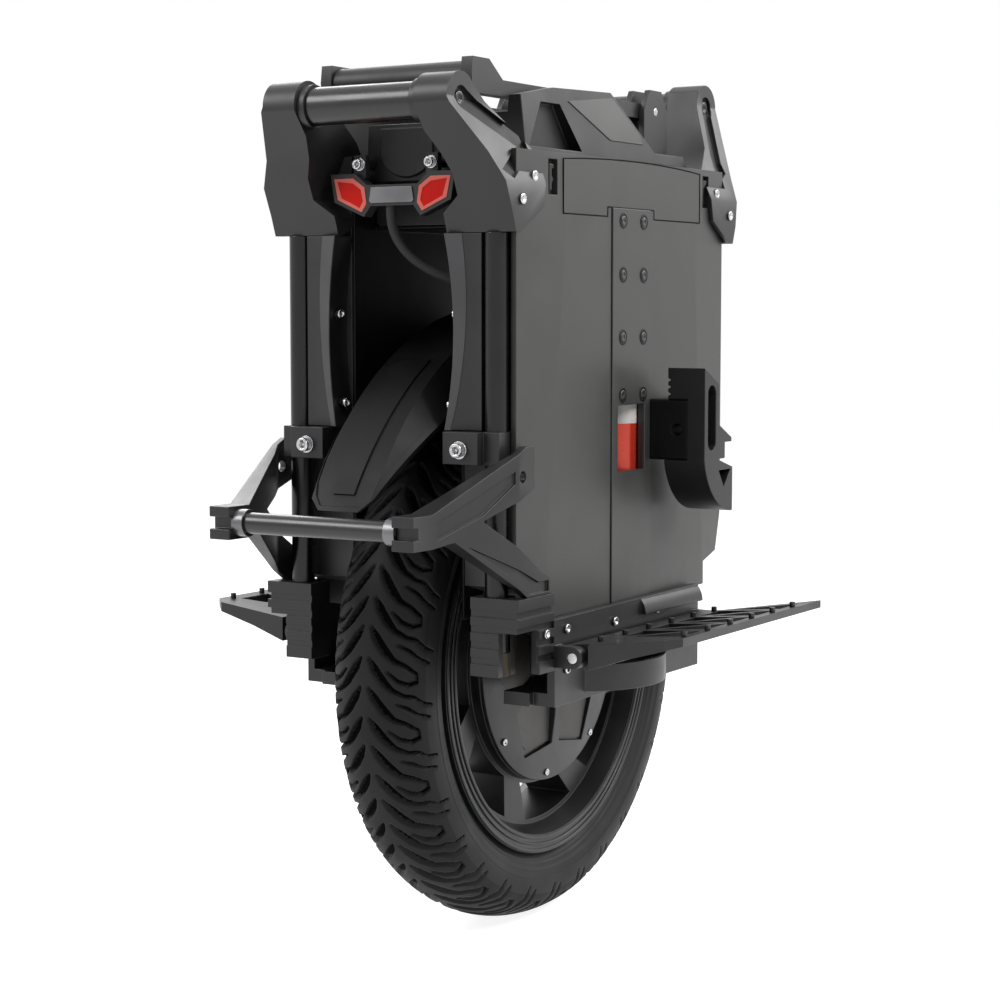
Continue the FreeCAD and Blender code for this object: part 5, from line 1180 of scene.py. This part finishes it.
@dataclass
class Studio:
    """The floor, the light and the camera, in metres.

    A lamp is its name, its place, its width and its power in watts.
    """

    lens_mm: float = 79.15
    sensor_mm: float = 36.0
    place: Place = (-1.7618, -1.0673, 0.5699)
    yaw_deg: float = 31.634
    pitch_deg: float = 4.952
    floor_half: float = 14.0
    floor_colour: str = "#b4b4b4"
    floor_lift: float = 0.88
    back_colour: str = "#ffffff"
    ambient: float = 0.28
    target: Place = (0.0, 0.0, 0.4)
    lamps: tuple[tuple[str, Place, float, float], ...] = (
        ("key", (0.2, -2.5, 2.7), 1.5, 85.0),
        ("rear", (-2.2, 2.0, 2.4), 1.3, 46.0),
        ("front", (2.4, -1.5, 2.1), 1.5, 36.0),
        ("fill", (1.8, 2.6, 2.2), 1.6, 46.0),
        ("top", (0.0, 0.0, 3.2), 1.4, 45.0),
    )

    def build(self) -> None:
        """Builds the floor, the surround, the lamps and the camera."""
        self.floor()
        self.surround()
        self.light()
        self.camera()

    def light(self) -> None:
        """Hangs the soft square lamps, pointed at the machine."""
        for name, place, width, watts in self.lamps:
            data = bpy.data.lights.new(name, "AREA")
            data.size = width
            data.energy = watts
            hang(add_object(name, data), place, Vector(self.target) - Vector(place))

    def camera(self) -> None:
        """Sets the camera at the photograph's angle."""
        data = bpy.data.cameras.new("camera")
        data.lens = self.lens_mm
        data.sensor_width = self.sensor_mm
        camera = add_object("camera", data)
        yaw, pitch = math.radians(self.yaw_deg), math.radians(self.pitch_deg)
        level = math.cos(pitch)
        aim = Vector((math.cos(yaw) * level, math.sin(yaw) * level, -math.sin(pitch)))
        hang(camera, self.place, aim)
        bpy.context.scene.camera = camera

    def shown(self, tree: NodeTree) -> NodeSocket:
        """Adds the nodes that tell a ray that shows the stage from one that only lights.

        Args:
            tree: The node tree of the floor or the surround.

        Returns:
            The socket that is 1 for camera, glossy and transmission rays.
        """
        path = add_node(tree, "ShaderNodeLightPath").outputs
        seen = path["Is Camera Ray"]
        for kind in ("Is Glossy Ray", "Is Transmission Ray"):
            links = {0: seen, 1: path[kind]}
            seen = add_node(tree, "ShaderNodeMath", links, operation="MAXIMUM").outputs[0]
        return seen

    def surround(self) -> None:
        """Makes a plain surround: white to the camera and in reflections, softer as light."""
        world = bpy.data.worlds.new("surround")
        bpy.context.scene.world = world
        world.use_nodes = True
        tree = world.node_tree
        tree.nodes.clear()
        levels = {"Value": self.shown(tree), "To Min": self.ambient, "To Max": 1.0}
        light = add_node(tree, "ShaderNodeMapRange", levels).outputs["Result"]
        glow = {"Color": linear(self.back_colour), "Strength": light}
        back = add_node(tree, "ShaderNodeBackground", glow).outputs["Background"]
        add_node(tree, "ShaderNodeOutputWorld", {"Surface": back})

    def floor(self) -> None:
        """Makes a pale floor that is white to the camera away from the machine's shadow."""
        mesh = bpy.data.meshes.new("floor")
        half = self.floor_half
        corners = [(-half, -half, 0), (half, -half, 0), (half, half, 0), (-half, half, 0)]
        mesh.from_pydata(corners, [], [(0, 1, 2, 3)])
        floor = add_object("floor", mesh)
        paint = bpy.data.materials.new("pale_floor")
        paint.use_nodes = True
        tree = paint.node_tree
        tree.nodes.clear()
        matt = add_node(tree, "ShaderNodeBsdfDiffuse", {"Color": linear(self.floor_colour)})
        levels = {0: self.shown(tree), 1: self.floor_lift}
        lift = add_node(tree, "ShaderNodeMath", levels, operation="MULTIPLY")
        glow = add_node(tree, "ShaderNodeEmission", {"Strength": lift.outputs[0]})
        both = add_node(tree, "ShaderNodeAddShader", {0: matt.outputs[0], 1: glow.outputs[0]})
        add_node(tree, "ShaderNodeOutputMaterial", {"Surface": both.outputs[0]})
        mesh.materials.append(paint)


def main() -> None:
    """Builds the scene in order."""
    logging.basicConfig(level=logging.INFO, format="%(name)s: %(message)s")
    bpy.context.scene.view_settings.view_transform = "Standard"
    for part in (Studio, Cable, Shell, Tyre, Fasteners, TailLamp, Headlight, Trim, Inlays, Seals):
        part().build()


if __name__ == "__main__":
    main()
